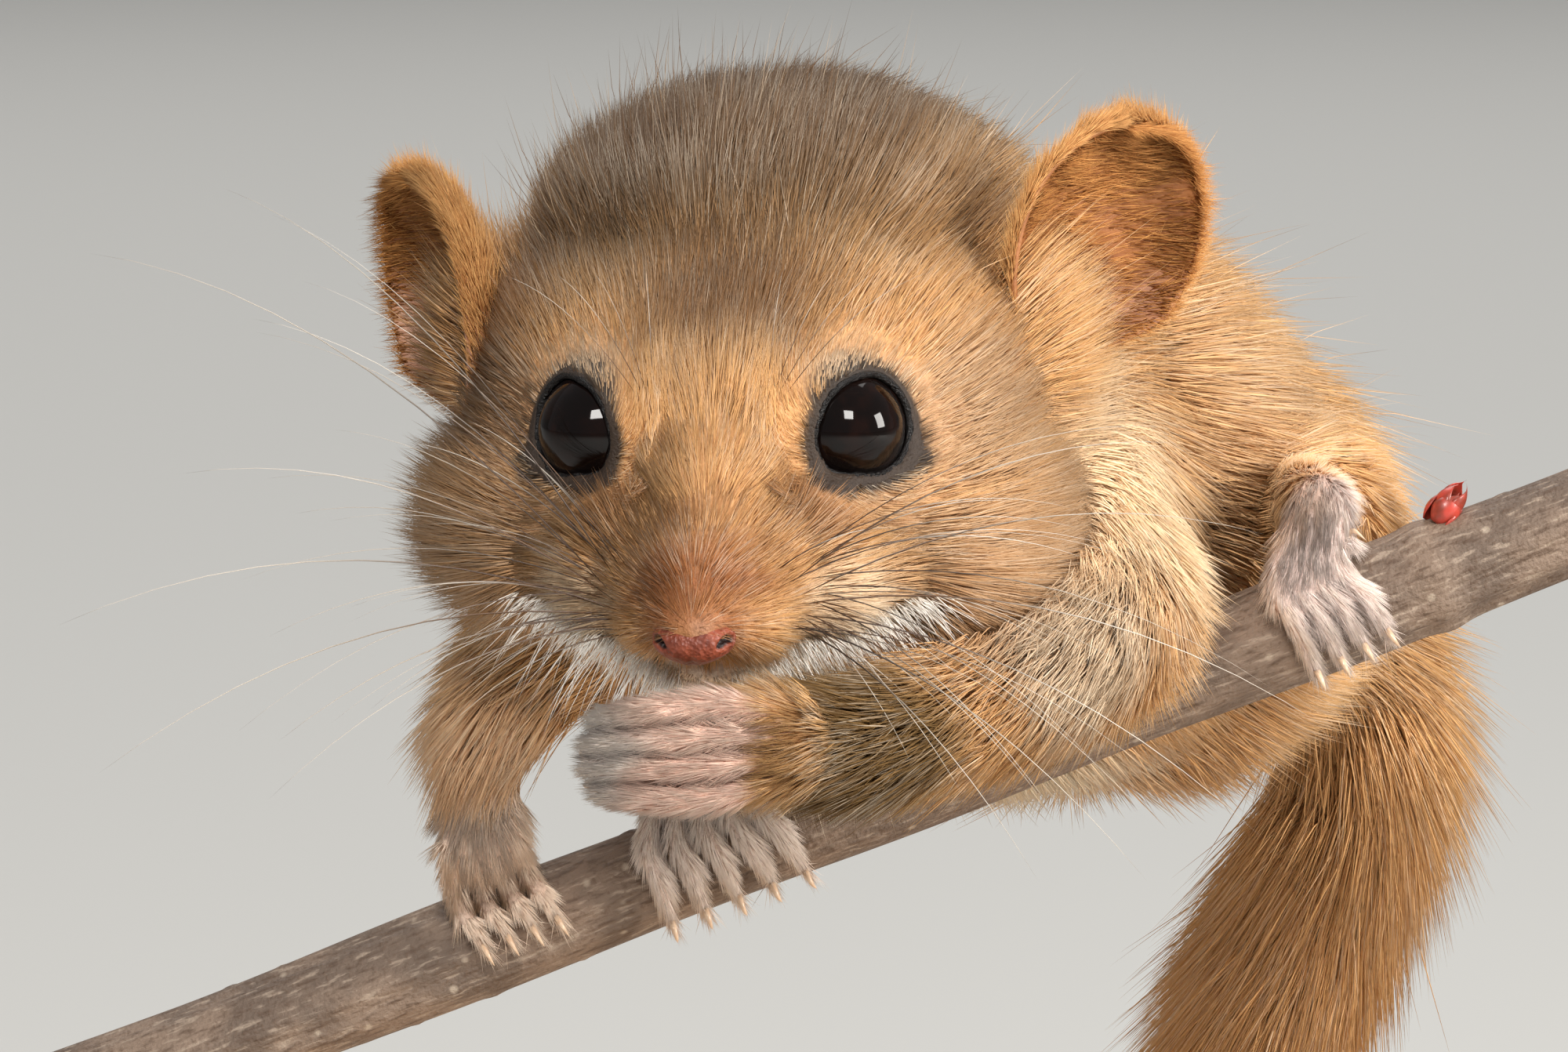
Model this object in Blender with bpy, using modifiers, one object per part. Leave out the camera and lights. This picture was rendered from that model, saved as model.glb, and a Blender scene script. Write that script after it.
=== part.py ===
"""A life-size hazel dormouse crouched on a cut length of twig, which a plain display stand holds up.

Every length below is in millimetres and becomes metres where a mesh is made. The origin is the
middle of the stand's underside. +Z is up, +X is the side where the animal's left ear is, and the
animal faces -Y. The surface of each furry piece is the outside of its coat.
"""

import math

import bmesh
import bpy
import numpy as np
from mathutils import Matrix, Vector

MM = 0.001
GAP = 0.3

# The stand and the twig that it holds
BASE_SIZE = Vector((88.0, 72.0, 6.0))
BASE_EDGE = 1.2
ROD_RADIUS = 1.2
ROD_OUT = 31.0
TWIG_MIDDLE = Vector((0.0, -5.5, 58.0))
TWIG_ALONG = Vector((1.0, 0.055, 0.383)).normalized()
TWIG_RADIUS = 2.0
TWIG_HALF = 36.5

# The head, in a frame of its own: origin between the fronts of the eyes, x to its left, y to its back
HEAD_AT = Vector((-4.4, -20.5, 74.5))
HEAD_YAW = math.radians(-7.5)
HEAD_PITCH = math.radians(11.0)
HEAD_ROLL = math.radians(-1.2)
HEAD_HEART = Vector((0.0, 3.0, -2.5))
HEAD_BLEND = 0.8
HEAD_FORMS = (
    ("cranium", (0.0, 7.5, -0.4), (10.6, 9.0, 7.0)),
    ("brow", (0.0, 1.6, 0.3), (4.9, 4.9, 3.4)),
    ("left cheek", (6.4, 4.6, -4.5), (5.9, 7.0, 5.2)),
    ("right cheek", (-6.4, 4.6, -4.5), (5.9, 7.0, 5.2)),
    ("left ear root", (9.8, 9.6, 0.2), (2.4, 2.8, 3.8)),
    ("right ear root", (-9.4, 9.6, -0.2), (2.4, 2.8, 3.8)),
    ("upper bridge", (0.0, -1.4, -1.3), (2.6, 3.8, 2.0)),
    ("bridge", (0.0, -4.3, -3.3), (1.7, 3.3, 1.7)),
    ("muzzle", (0.0, -3.2, -4.4), (2.4, 3.9, 2.1)),
    ("left jowl", (3.3, -0.8, -4.8), (2.5, 3.9, 3.0)),
    ("right jowl", (-3.3, -0.8, -4.8), (2.5, 3.9, 3.0)),
    ("left whisker pad", (1.45, -4.9, -5.4), (1.4, 2.3, 1.4)),
    ("right whisker pad", (-1.45, -4.9, -5.4), (1.4, 2.3, 1.4)),
    ("nose", (0.0, -7.9, -4.7), (1.25, 1.2, 0.9)),
    ("jaw", (0.0, -1.8, -7.4), (2.7, 4.3, 1.8)),
    ("throat", (0.0, 5.0, -6.5), (7.4, 6.5, 4.0)),
)

EYE_RADIUS = 2.3
EYE_AT = Vector((4.35, 1.25, -0.45))
EYE_OUT = Vector((0.62, -0.76, 0.16)).normalized()
EYE_NOSE_CORNER = Vector((-0.62, -0.50, -0.50))
EYE_OPEN = math.radians(53.0)
EYE_CORNER = math.radians(15.0)
LID = 0.5

# The tips of the long whiskers, and how far each bows to the front on its way
WHISKER_RADII = (0.27, 0.22, 0.16, 0.08)
WHISKER_TIPS = {
    1: (
        ((12.0, -22.5, 74.2), 1.0),
        ((15.4, -19.0, 70.4), 2.5),
        ((17.9, -19.0, 63.2), 3.0),
        ((15.3, -22.6, 59.8), 2.5),
        ((10.9, -26.4, 59.0), 1.9),
        ((6.8, -31.0, 60.0), 1.4),
    ),
    -1: (
        ((-22.7, -13.3, 82.5), 2.5),
        ((-27.4, -15.6, 80.3), 2.0),
        ((-23.8, -18.8, 72.6), 1.5),
        ((-28.0, -22.5, 67.6), 1.0),
        ((-26.6, -23.2, 62.3), 0.6),
        ((-20.0, -24.2, 63.7), 0.4),
        ((-20.3, -25.4, 61.8), 0.4),
    ),
}

# Each ear: foot, axis, direction across its opening, height, half width, depth
EARS = {
    1: ((13.0, 9.4, -0.6), (0.10, 0.18, 0.97), (0.70, 0.72, 0.0), 9.6, 4.1, 3.2),
    -1: ((-12.5, 9.4, -2.3), (-0.05, 0.16, 0.98), (-0.44, 0.89, 0.0), 9.9, 4.5, 4.0),
}
EAR_THICK = 0.8

# The body, as forms round one heart
BODY_HEART = Vector((5.0, 2.0, 69.0))
BODY_BLEND = 1.3
BODY_FORMS = (
    ("neck", (-1.2, -6.3, 75.4), (11.2, 9.5, 10.4)),
    ("shoulders", (1.0, -3.0, 71.5), (11.4, 10.0, 10.4)),
    ("chest", (-1.0, -10.3, 67.0), (7.2, 6.2, 7.0)),
    ("ribs", (6.5, 5.0, 69.5), (12.4, 13.0, 11.4)),
    ("rump", (12.0, 13.5, 65.5), (10.4, 11.6, 10.4)),
    ("belly", (6.0, 4.0, 63.5), (9.0, 10.5, 6.0)),
)
NECK_CUT = Vector((-0.5, -5.5, 75.5))
NECK_CUT_FACING = Vector((0.25, 0.83, -0.50)).normalized()

# Each leg: the centres of its sections, from the body outwards, each with its radius
FORELEG_LEFT = (
    ((7.0, -8.0, 69.4), 4.6),
    ((9.4, -12.8, 66.9), 3.7),
    ((6.8, -18.6, 65.1), 2.8),
    ((1.9, -24.3, 64.0), 2.3),
    ((-1.3, -27.5, 64.2), 2.0),
)
FORELEG_RIGHT = (
    ((-6.4, -7.4, 66.6), 3.6),
    ((-10.2, -8.4, 64.9), 3.1),
    ((-12.6, -9.8, 62.6), 2.4),
    ((-13.4, -9.9, 60.6), 1.9),
)
HINDLEG_LEFT = (
    ((14.0, 13.0, 65.0), 6.6),
    ((17.4, 6.5, 66.6), 5.6),
    ((18.2, 0.6, 68.0), 3.9),
)
SHANK_LEFT = (
    ((18.2, 0.8, 67.6), 3.0),
    ((17.6, 5.2, 64.6), 2.0),
    ((17.3, 4.4, 65.0), 1.8),
)
HINDLEG_RIGHT = (
    ((6.0, 12.0, 62.0), 6.4),
    ((-1.0, 6.5, 61.5), 5.2),
    ((-4.4, 0.8, 60.6), 3.6),
)

TAIL_PATH = (
    (19.0, 20.0, 62.5),
    (21.6, 24.3, 59.6),
    (22.7, 25.4, 55.0),
    (21.4, 25.0, 50.0),
    (18.8, 24.4, 43.5),
    (17.0, 23.6, 35.5),
    (16.8, 23.0, 27.0),
    (18.4, 22.3, 19.0),
    (20.8, 21.8, 12.5),
)
TAIL_RADII = (2.6, 2.9, 3.1, 3.2, 3.2, 3.1, 2.9, 2.4, 1.1)
TAIL_CORE = 0.66
LOCK_ROWS = 10
LOCKS_ROUND = 6
LOCK_LENGTH = 9.6
LOCK_WIDTH = 1.25
LOCK_THICK = 0.4
LOCK_SUNK = 0.9
TAIL_LENGTH = 62.0
# Along a lock: share of its length, share of the way out from the core, then its width and thickness
LOCK_STATIONS = (
    (0.0, 0.25, 0.8, 1.0),
    (0.3, 0.78, 1.0, 0.9),
    (0.66, 0.97, 0.7, 0.7),
    (1.0, 1.08, 0.0, 0.0),
)

COAT = (0.62, 0.36, 0.14)
BARE_SKIN = (0.72, 0.42, 0.36)
EYE_BLACK = (0.012, 0.008, 0.008)
BARK = (0.26, 0.19, 0.13)
BEECH = (0.62, 0.43, 0.26)
STEEL = (0.55, 0.55, 0.56)


def clear_scene():
    for old in list(bpy.data.objects):
        bpy.data.objects.remove(old, do_unlink=True)


def finish(name, colour, roughness, metallic=0.0):
    """One plain material for a node."""
    made = bpy.data.materials.get(name) or bpy.data.materials.new(name)
    made.use_nodes = True
    shader = made.node_tree.nodes["Principled BSDF"]
    shader.inputs["Base Color"].default_value = (*colour, 1.0)
    shader.inputs["Roughness"].default_value = roughness
    shader.inputs["Metallic"].default_value = metallic
    return made


def new_object(name, mesh, matrix=None):
    """An object in the scene's own collection, where work in progress lives."""
    made = bpy.data.objects.new(name, mesh)
    bpy.context.scene.collection.objects.link(made)
    if matrix is not None:
        made.matrix_world = matrix
    return made


def remove(obj):
    bpy.data.objects.remove(obj, do_unlink=True)


def head_matrix():
    turn = Matrix.Rotation(HEAD_YAW, 4, "Z") @ Matrix.Rotation(HEAD_PITCH, 4, "X")
    return Matrix.Translation(HEAD_AT) @ turn @ Matrix.Rotation(HEAD_ROLL, 4, "Y")


def distance_to_forms(points, forms, blend):
    """Distance from each point to the smooth union of some ellipsoids, below zero inside it."""
    total = np.zeros(len(points))
    for _, centre, radii in forms:
        away = points - np.array(centre)
        near = np.linalg.norm(away / np.array(radii), axis=1)
        slope = np.linalg.norm(away / np.square(radii), axis=1)
        total += np.exp(-near * (near - 1.0) / np.maximum(slope, 1e-9) / blend)
    return -blend * np.log(total)


def out_to_surface(heart, directions, forms, blend, grow=0.0):
    """The outermost point of the forms along each direction from the heart."""
    reach = np.full(len(directions), 60.0)
    for _ in range(90):
        points = np.array(heart) + directions * reach[:, None]
        reach -= 0.8 * (distance_to_forms(points, forms, blend) - grow)
    return np.array(heart) + directions * reach[:, None]


def body_of_forms(name, heart, forms, blend, pole, rings, grow=0.0, matrix=None):
    """A sphere whose vertices are drawn out to the surface of the forms, with its pole where detail is."""
    mesh = bpy.data.meshes.new(name)
    work = bmesh.new()
    bmesh.ops.create_uvsphere(work, u_segments=rings[0], v_segments=rings[1], radius=1.0)
    turn = pole.to_track_quat("Z", "X").to_matrix()
    bmesh.ops.rotate(work, verts=work.verts, cent=(0, 0, 0), matrix=turn)
    directions = np.array([v.co.normalized() for v in work.verts])
    placed = out_to_surface(heart, directions, forms, blend, grow) * MM
    for vertex, point in zip(work.verts, placed):
        vertex.co = point
    bmesh.ops.recalc_face_normals(work, faces=work.faces)
    work.to_mesh(mesh)
    work.free()
    place = Matrix.Identity(4) if matrix is None else metres(matrix)
    return new_object(name, mesh, place)


def metres(matrix):
    """The same placing, with its offset turned from millimetres into metres."""
    scaled = matrix.copy()
    scaled.translation = matrix.translation * MM
    return scaled


def ellipsoid(name, centre, radii, turn=None, grow=0.0, rings=(14, 10)):
    """A ball with three radii. The turn's columns are its own axes."""
    mesh = bpy.data.meshes.new(name)
    work = bmesh.new()
    bmesh.ops.create_uvsphere(work, u_segments=rings[0], v_segments=rings[1], radius=1.0)
    bmesh.ops.scale(work, vec=[(r + grow) * MM for r in radii], verts=work.verts)
    work.to_mesh(mesh)
    work.free()
    place = Matrix.Translation(Vector(centre) * MM)
    if turn is not None:
        place = place @ turn.to_4x4()
    return new_object(name, mesh, place)


def smooth_path(points, per_span):
    """Points along a Catmull-Rom curve. Any number of columns, so that a radius rides along."""
    rows = [Vector(p) for p in points]
    rows = [2 * rows[0] - rows[1], *rows, 2 * rows[-1] - rows[-2]]
    path = []
    for a, b, c, d in zip(rows, rows[1:], rows[2:], rows[3:]):
        for step in range(per_span):
            t = step / per_span
            path.append(
                0.5
                * (
                    2 * b
                    + (c - a) * t
                    + (2 * a - 5 * b + 4 * c - d) * t * t
                    + (3 * b - 3 * c + d - a) * t**3
                )
            )
    return [*path, rows[-2]]


def tube(name, points, radii, sides=10, per_span=3, grow=0.0, round_ends=True, round_root=True):
    """A round limb along a smooth curve, as a bevelled curve turned into a closed mesh."""
    rows = [(*p, r + grow) for p, r in zip(points, radii)]
    path = smooth_path([Vector(row) for row in rows], per_span)
    if round_ends:
        path = rounded_end(path)
        if round_root:
            path = rounded_end(path[::-1])[::-1]
    data = bpy.data.curves.new(name, "CURVE")
    data.dimensions = "3D"
    data.bevel_depth = MM
    data.bevel_resolution = sides // 2 - 2
    data.use_fill_caps = True
    spline = data.splines.new("POLY")
    spline.points.add(len(path) - 1)
    for point, row in zip(spline.points, path):
        point.co = (row[0] * MM, row[1] * MM, row[2] * MM, 1.0)
        point.radius = row[3]
    return curve_to_mesh(new_object(name, data))


def rounded_end(path):
    """Ends a path with three narrowing points, so that a limb closes in a dome."""
    last, before = path[-1], path[-2]
    along = (last.xyz - before.xyz).normalized()
    radius = last[3]
    domed = list(path)
    for degrees in (35.0, 62.0, 82.0) if radius > 1.0 else (40.0, 75.0):
        angle = math.radians(degrees)
        place = last.xyz + along * radius * math.sin(angle)
        domed.append(Vector((*place, max(radius * math.cos(angle), 0.05))))
    return domed


def curve_to_mesh(obj):
    """Turns a bevelled curve into a mesh object, with its loose caps welded on."""
    graph = bpy.context.evaluated_depsgraph_get()
    mesh = bpy.data.meshes.new_from_object(obj.evaluated_get(graph))
    work = bmesh.new()
    work.from_mesh(mesh)
    bmesh.ops.remove_doubles(work, verts=work.verts, dist=1e-7)
    face_out(work)
    work.to_mesh(mesh)
    work.free()
    made = new_object(obj.name, mesh, obj.matrix_world.copy())
    remove(obj)
    return made


def face_out(work):
    """Turns a closed surface's faces outwards."""
    bmesh.ops.recalc_face_normals(work, faces=work.faces)
    if work.calc_volume(signed=True) < 0:
        bmesh.ops.reverse_faces(work, faces=work.faces)


def keep_largest(mesh):
    """Leaves only the largest closed surface of a mesh."""
    work = bmesh.new()
    work.from_mesh(mesh)
    work.faces.ensure_lookup_table()
    left = set(work.faces)
    islands = []
    while left:
        seed = left.pop()
        island, edge = {seed}, [seed]
        while edge:
            face = edge.pop()
            near = {f for e in face.edges for f in e.link_faces} - island
            island |= near
            edge += near
        left -= island
        islands.append(island)
    size = [sum(f.calc_area() for f in island) for island in islands]
    kept = islands[size.index(max(size))]
    dropped = [f for f in work.faces if f not in kept]
    bmesh.ops.delete(work, geom=dropped, context="FACES")
    loose = [v for v in work.verts if not v.link_faces]
    bmesh.ops.delete(work, geom=loose, context="VERTS")
    face_out(work)
    work.to_mesh(mesh)
    work.free()


def apply_modifiers(obj):
    bpy.context.view_layer.update()
    graph = bpy.context.evaluated_depsgraph_get()
    made = bpy.data.meshes.new_from_object(obj.evaluated_get(graph))
    obj.modifiers.clear()
    obj.data = made
    keep_largest(obj.data)


def join(body, pieces):
    """Fuses pieces into a body by one Boolean union on a collection of them."""
    group = bpy.data.collections.new(body.name + " pieces")
    for piece in pieces:
        group.objects.link(piece)
    union = body.modifiers.new("Join", "BOOLEAN")
    union.operation = "UNION"
    union.operand_type = "COLLECTION"
    union.collection = group
    apply_modifiers(body)
    for piece in pieces:
        remove(piece)
    bpy.data.collections.remove(group)
    return body


def cut(body, *cutters):
    """Takes cutters from a body one after another, and removes them."""
    for cutter in cutters:
        step = body.modifiers.new("Cut", "BOOLEAN")
        step.operation = "DIFFERENCE"
        step.object = cutter
        apply_modifiers(body)
        remove(cutter)
    return body


def box(name, centre, size, turn=None):
    mesh = bpy.data.meshes.new(name)
    work = bmesh.new()
    bmesh.ops.create_cube(work, size=1.0)
    bmesh.ops.scale(work, vec=Vector(size) * MM, verts=work.verts)
    work.to_mesh(mesh)
    work.free()
    place = Matrix.Translation(Vector(centre) * MM)
    if turn is not None:
        place = place @ turn.to_4x4()
    return new_object(name, mesh, place)


def mirrored(vector, side):
    return Vector((vector[0] * side, vector[1], vector[2]))


def in_head(point):
    return head_matrix() @ Vector(point)


def head_turned(direction):
    return head_matrix().to_3x3() @ Vector(direction)


def head_form(grow=0.0):
    """The whole head as one smooth form, with its pole at the nose, where it needs most detail."""
    return body_of_forms(
        "head", HEAD_HEART, HEAD_FORMS, HEAD_BLEND, Vector((0, -1, -0.2)), (38, 26), grow, head_matrix()
    )


def torso_form(grow=0.0):
    return body_of_forms(
        "torso", BODY_HEART, BODY_FORMS, BODY_BLEND, Vector((-0.4, -0.8, 0.3)), (32, 20), grow
    )


def twig_form(grow=0.0):
    """The twig: a gently uneven rod, a little thicker at a node where a side shoot was cut."""
    stations = np.linspace(-TWIG_HALF, TWIG_HALF, 7)
    points = [TWIG_MIDDLE + TWIG_ALONG * s for s in stations]
    radii = [TWIG_RADIUS * (1.0 + 0.03 * math.sin(0.35 * s + 0.6)) for s in stations]
    return tube("twig", points, radii, sides=12, per_span=2, grow=grow, round_ends=False)


def twig():
    """The twig with one red bud on it."""
    body = twig_form()
    crown = on_twig(25.4, 8.0, 0.35)
    turn = (TWIG_ALONG + Vector((0, 0, 0.5))).to_track_quat("Z", "Y").to_matrix()
    join(body, [ellipsoid("bud", crown, (0.62, 0.75, 1.1), turn, rings=(10, 8))])
    return node(body, "perch_twig", finish("bark", BARK, 0.8))


def eye_centre(side):
    return in_head(mirrored(EYE_AT, side))


def eye_ball(name, side, grow=0.0, rings=(16, 12)):
    radii = (EYE_RADIUS,) * 3
    facing = head_turned(mirrored(EYE_OUT, side)).to_track_quat("Z", "Y").to_matrix()
    return ellipsoid(name, eye_centre(side), radii, facing, grow, rings)


def lid_angle(turn):
    """How far the lids open from the eye's axis, wider at the corner towards the nose."""
    corner = max(0.0, math.cos(turn)) ** 5
    outer = max(0.0, -math.cos(turn)) ** 6
    return EYE_OPEN + EYE_CORNER * corner + 0.3 * EYE_CORNER * outer


def lid_opening(side):
    """A cone from the eye's centre whose section is the opening between the lids."""
    out = head_turned(mirrored(EYE_OUT, side)).normalized()
    corner = head_turned(mirrored(EYE_NOSE_CORNER, side))
    corner = (corner - out * corner.dot(out)).normalized()
    other = out.cross(corner)
    steps = 28
    far = EYE_RADIUS * 3.0
    centre = eye_centre(side)
    work = bmesh.new()
    apex = work.verts.new(centre * MM)
    ring = []
    for i in range(steps):
        turn = 2 * math.pi * i / steps
        angle = lid_angle(turn)
        away = out * math.cos(angle) + (corner * math.cos(turn) + other * math.sin(turn)) * math.sin(angle)
        ring.append(work.verts.new((centre + away * far) * MM))
    crown = work.verts.new((centre + out * far * 1.2) * MM)
    for a, b in zip(ring, ring[1:] + ring[:1]):
        work.faces.new((apex, a, b))
        work.faces.new((crown, b, a))
    bmesh.ops.recalc_face_normals(work, faces=work.faces)
    mesh = bpy.data.meshes.new("lid opening")
    work.to_mesh(mesh)
    work.free()
    return new_object("lid opening", mesh)


def head_surface(direction):
    """The point of the head's surface, in its own frame, seen from its heart in a direction."""
    toward = np.array([Vector(direction).normalized()])
    return Vector(out_to_surface(HEAD_HEART, toward, HEAD_FORMS, HEAD_BLEND)[0])


def mouth_line():
    """A groove between the lips, from under the nose to both corners."""
    points, radii = [], []
    for step in np.linspace(-1.0, 1.0, 9):
        dip = -0.36 - 0.26 * step * step
        points.append(in_head(head_surface((0.56 * step, -1.0, dip))))
        radii.append(0.14 + 0.16 * (1.0 - abs(step)))
    return tube("mouth line", points, radii, sides=6, per_span=2)


def philtrum():
    """The cleft that joins the nose to the mouth."""
    dips = (-0.27, -0.30, -0.33, -0.37)
    points = [in_head(head_surface((0.0, -1.0, dip))) for dip in dips]
    return tube("philtrum", points, (0.1, 0.2, 0.22, 0.2), sides=6, per_span=2)


def nostril(side):
    centre = in_head(mirrored((0.82, -8.75, -4.85), side))
    out = head_turned(mirrored((0.75, -0.6, -0.2), side)).to_track_quat("Z", "Y").to_matrix()
    return ellipsoid("nostril", centre, (0.30, 0.42, 0.65), out, rings=(10, 6))


def whiskers(side):
    """The long whiskers of one side, fanned from rows on the whisker pad."""
    made = []
    tips = WHISKER_TIPS[side]
    for i, (tip, bow) in enumerate(tips):
        share = i / (len(tips) - 1)
        root = head_surface(mirrored((0.36, -1.0 + 0.12 * (i % 2), -0.22 - 0.17 * share), side))
        inner = in_head(root - (root - HEAD_HEART).normalized() * 0.8)
        root = in_head(root)
        tip = Vector(tip)
        points = [inner]
        for t in (0.34, 0.67):
            rise = Vector((0.0, -bow, 0.18 * (tip - root).length)) * 4 * t * (1 - t)
            points.append(root.lerp(tip, t) + rise * 0.6)
        points.append(tip)
        made.append(tube("whisker", points, WHISKER_RADII, sides=4, per_span=2, round_ends=False))
    return made


def head():
    """The head: form, lids, mouth, nostrils and whiskers in one node."""
    body = head_form()
    lids = [eye_ball("lids", side, GAP + LID) for side in (1, -1)]
    join(body, lids)
    for side in (1, -1):
        cut(body, lid_opening(side), eye_ball("socket", side, GAP), nostril(side))
    cut(body, philtrum(), mouth_line())
    join(body, whiskers(1) + whiskers(-1))
    return node(body, "head", finish("coat", COAT, 0.85))


def ear(side):
    """A cupped ear: a C-shaped shell that opens forward and outward, rooted on the head."""
    foot, up, across, height, half_width, depth = EARS[side]
    up = Vector(up).normalized()
    across = Vector(across).normalized()
    back = up.cross(across) * side
    columns, rows = 11, 10
    work = bmesh.new()
    lines = []
    for j in range(rows):
        v = math.sin(math.pi / 2 * j / (rows - 1))
        if v < 0.45:
            width = 0.55 + 0.45 * math.sin(math.pi / 2 * v / 0.45)
        else:
            width = max(0.0, 1.0 - ((v - 0.45) / 0.55) ** 2.4) ** 0.5
        half = max(half_width * width, 0.35)
        deep = depth * (1.0 - 0.45 * v) * min(1.0, width + 0.1)
        line = []
        for i in range(columns):
            turn = math.pi * i / (columns - 1)
            place = Vector(foot) + up * height * v
            place += across * (-math.cos(turn) * half) + back * math.sin(turn) * deep
            line.append(work.verts.new(in_head(place) * MM))
        lines.append(line)
    for low, high in zip(lines, lines[1:]):
        for a, b, c, d in zip(low, low[1:], high[1:], high):
            work.faces.new((a, b, c, d))
    mesh = bpy.data.meshes.new("ear")
    work.to_mesh(mesh)
    work.free()
    body = new_object("ear", mesh)
    shell = body.modifiers.new("Shell", "SOLIDIFY")
    shell.thickness = EAR_THICK * MM
    shell.offset = 0.0
    apply_modifiers(body)
    cut(body, head_form(GAP * 1.2), torso_form(GAP))
    name = "ear_left" if side > 0 else "ear_right"
    return node(body, name, finish("ear skin", COAT, 0.8))


def node(obj, name, material):
    """Names a finished node, gives it its material and files it with the model's parts."""
    obj.name = name
    obj.data.name = name
    obj.data.materials.clear()
    obj.data.materials.append(material)
    for polygon in obj.data.polygons:
        polygon.material_index = 0
    obj.data.shade_smooth()
    obj.data.set_sharp_from_angle(angle=math.radians(50.0))
    for group in list(obj.users_collection):
        group.objects.unlink(obj)
    parts_collection().objects.link(obj)
    return obj


def parts_collection():
    made = bpy.data.collections.get("hazel dormouse")
    if made is None:
        made = bpy.data.collections.new("hazel dormouse")
        bpy.context.scene.collection.children.link(made)
    return made


def neck_slab(front):
    """Everything in front of, or behind, the cut that parts neck from torso, less half the gap."""
    size = 120.0
    away = NECK_CUT_FACING * (-1 if front else 1)
    centre = NECK_CUT + away * (size - GAP) / 2
    turn = NECK_CUT_FACING.to_track_quat("Z", "Y").to_matrix()
    return box("slab", centre, (size, size, size), turn)


def neck():
    body = torso_form()
    cut(body, neck_slab(front=False), head_form(GAP * 1.2), twig_form(GAP))
    return node(body, "neck", finish("coat", COAT, 0.85))


def torso():
    body = torso_form()
    cut(body, neck_slab(front=True), head_form(GAP), twig_form(GAP))
    return node(body, "torso", finish("coat", COAT, 0.85))


def on_twig(along, angle, out):
    """A point round the twig: angle 0 is on top, 90 degrees is the side that the animal faces."""
    top = (Vector((0, 0, 1)) - TWIG_ALONG * TWIG_ALONG.z).normalized()
    front = TWIG_ALONG.cross(top)
    front *= -1.0 if front.y > 0 else 1.0
    turn = math.radians(angle)
    around = top * math.cos(turn) + front * math.sin(turn)
    return TWIG_MIDDLE + TWIG_ALONG * along + around * (TWIG_RADIUS + out)


def gripping_toe(start, along, radius, angles):
    """A toe that leaves the foot and bends round the twig."""
    out = radius + GAP
    points = [Vector(start)]
    for share, angle in zip((0.35, 0.7, 1.0), angles):
        points.append(on_twig(along[0] + (along[1] - along[0]) * share, angle, out))
    radii = (radius * 1.1, radius, radius * 0.95, radius * 0.6)
    return tube("toe", points, radii, sides=6, per_span=2, round_root=False)


def limb(name, stations, sides=14, grow=0.0, per_span=3):
    points = [s[0] for s in stations]
    radii = [s[1] for s in stations]
    return tube(name, points, radii, sides=sides, per_span=per_span, grow=grow)


def foreleg_left():
    body = limb("foreleg_left", FORELEG_LEFT)
    cut(body, head_form(GAP), torso_form(GAP), twig_form(GAP))
    return node(body, "foreleg_left", finish("coat", COAT, 0.85))


def foreleg_right():
    body = limb("foreleg_right", FORELEG_RIGHT)
    cut(body, head_form(GAP), torso_form(GAP), twig_form(GAP))
    return node(body, "foreleg_right", finish("coat", COAT, 0.85))


FINGER_RADII = (0.62, 0.6, 0.52, 0.34)


def forepaw_left():
    """The hand that is held to the mouth: palm and four fingers laid side by side."""
    wrist = Vector((-2.2, -28.2, 64.3))
    palm = ellipsoid("palm", wrist + Vector((-1.3, -0.6, 0.0)), (2.4, 1.3, 2.1))
    fingers = []
    for i in range(4):
        high = 1.45 - 0.95 * i
        knuckle = wrist + Vector((-2.4, -1.0, high))
        middle = wrist + Vector((-4.6, -1.3, high * 0.85 - 0.1))
        end = wrist + Vector((-6.4 + 0.25 * abs(i - 1.5), -0.2, high * 0.62 - 0.35))
        curl = wrist + Vector((-6.7 + 0.25 * abs(i - 1.5), 1.0, high * 0.55 - 0.5))
        path = (knuckle, middle, end, curl)
        fingers.append(tube("finger", path, FINGER_RADII, sides=6, per_span=2, round_root=False))
    join(palm, fingers)
    cut(palm, limb("arm", FORELEG_LEFT, grow=GAP), head_form(GAP))
    return node(palm, "forepaw_left", finish("paw skin", BARE_SKIN, 0.6))


def forepaw_right():
    """The hand that holds the twig."""
    palm = ellipsoid("palm", (-13.4, -9.7, 58.1), (1.75, 1.4, 2.2))
    fingers = []
    for i in range(4):
        along = (-14.9 + 0.95 * i, -14.4 + 1.0 * i)
        start = (-14.6 + 0.75 * i, -10.2, 57.5 + 0.15 * i)
        fingers.append(gripping_toe(start, along, 0.5, (40.0, 60.0, 80.0)))
    join(palm, fingers)
    cut(palm, limb("arm", FORELEG_RIGHT, grow=GAP), twig_form(GAP))
    return node(palm, "forepaw_right", finish("paw skin", BARE_SKIN, 0.6))


def hindleg_left():
    body = limb("hindleg_left", HINDLEG_LEFT)
    join(body, [limb("shank", SHANK_LEFT, sides=10, per_span=2)])
    cut(body, torso_form(GAP), twig_form(GAP))
    return node(body, "hindleg_left", finish("coat", COAT, 0.85))


def hindleg_right():
    body = limb("hindleg_right", HINDLEG_RIGHT)
    cut(body, torso_form(GAP), twig_form(GAP), limb("arm", FORELEG_RIGHT, grow=GAP))
    return node(body, "hindleg_right", finish("coat", COAT, 0.85))


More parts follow.
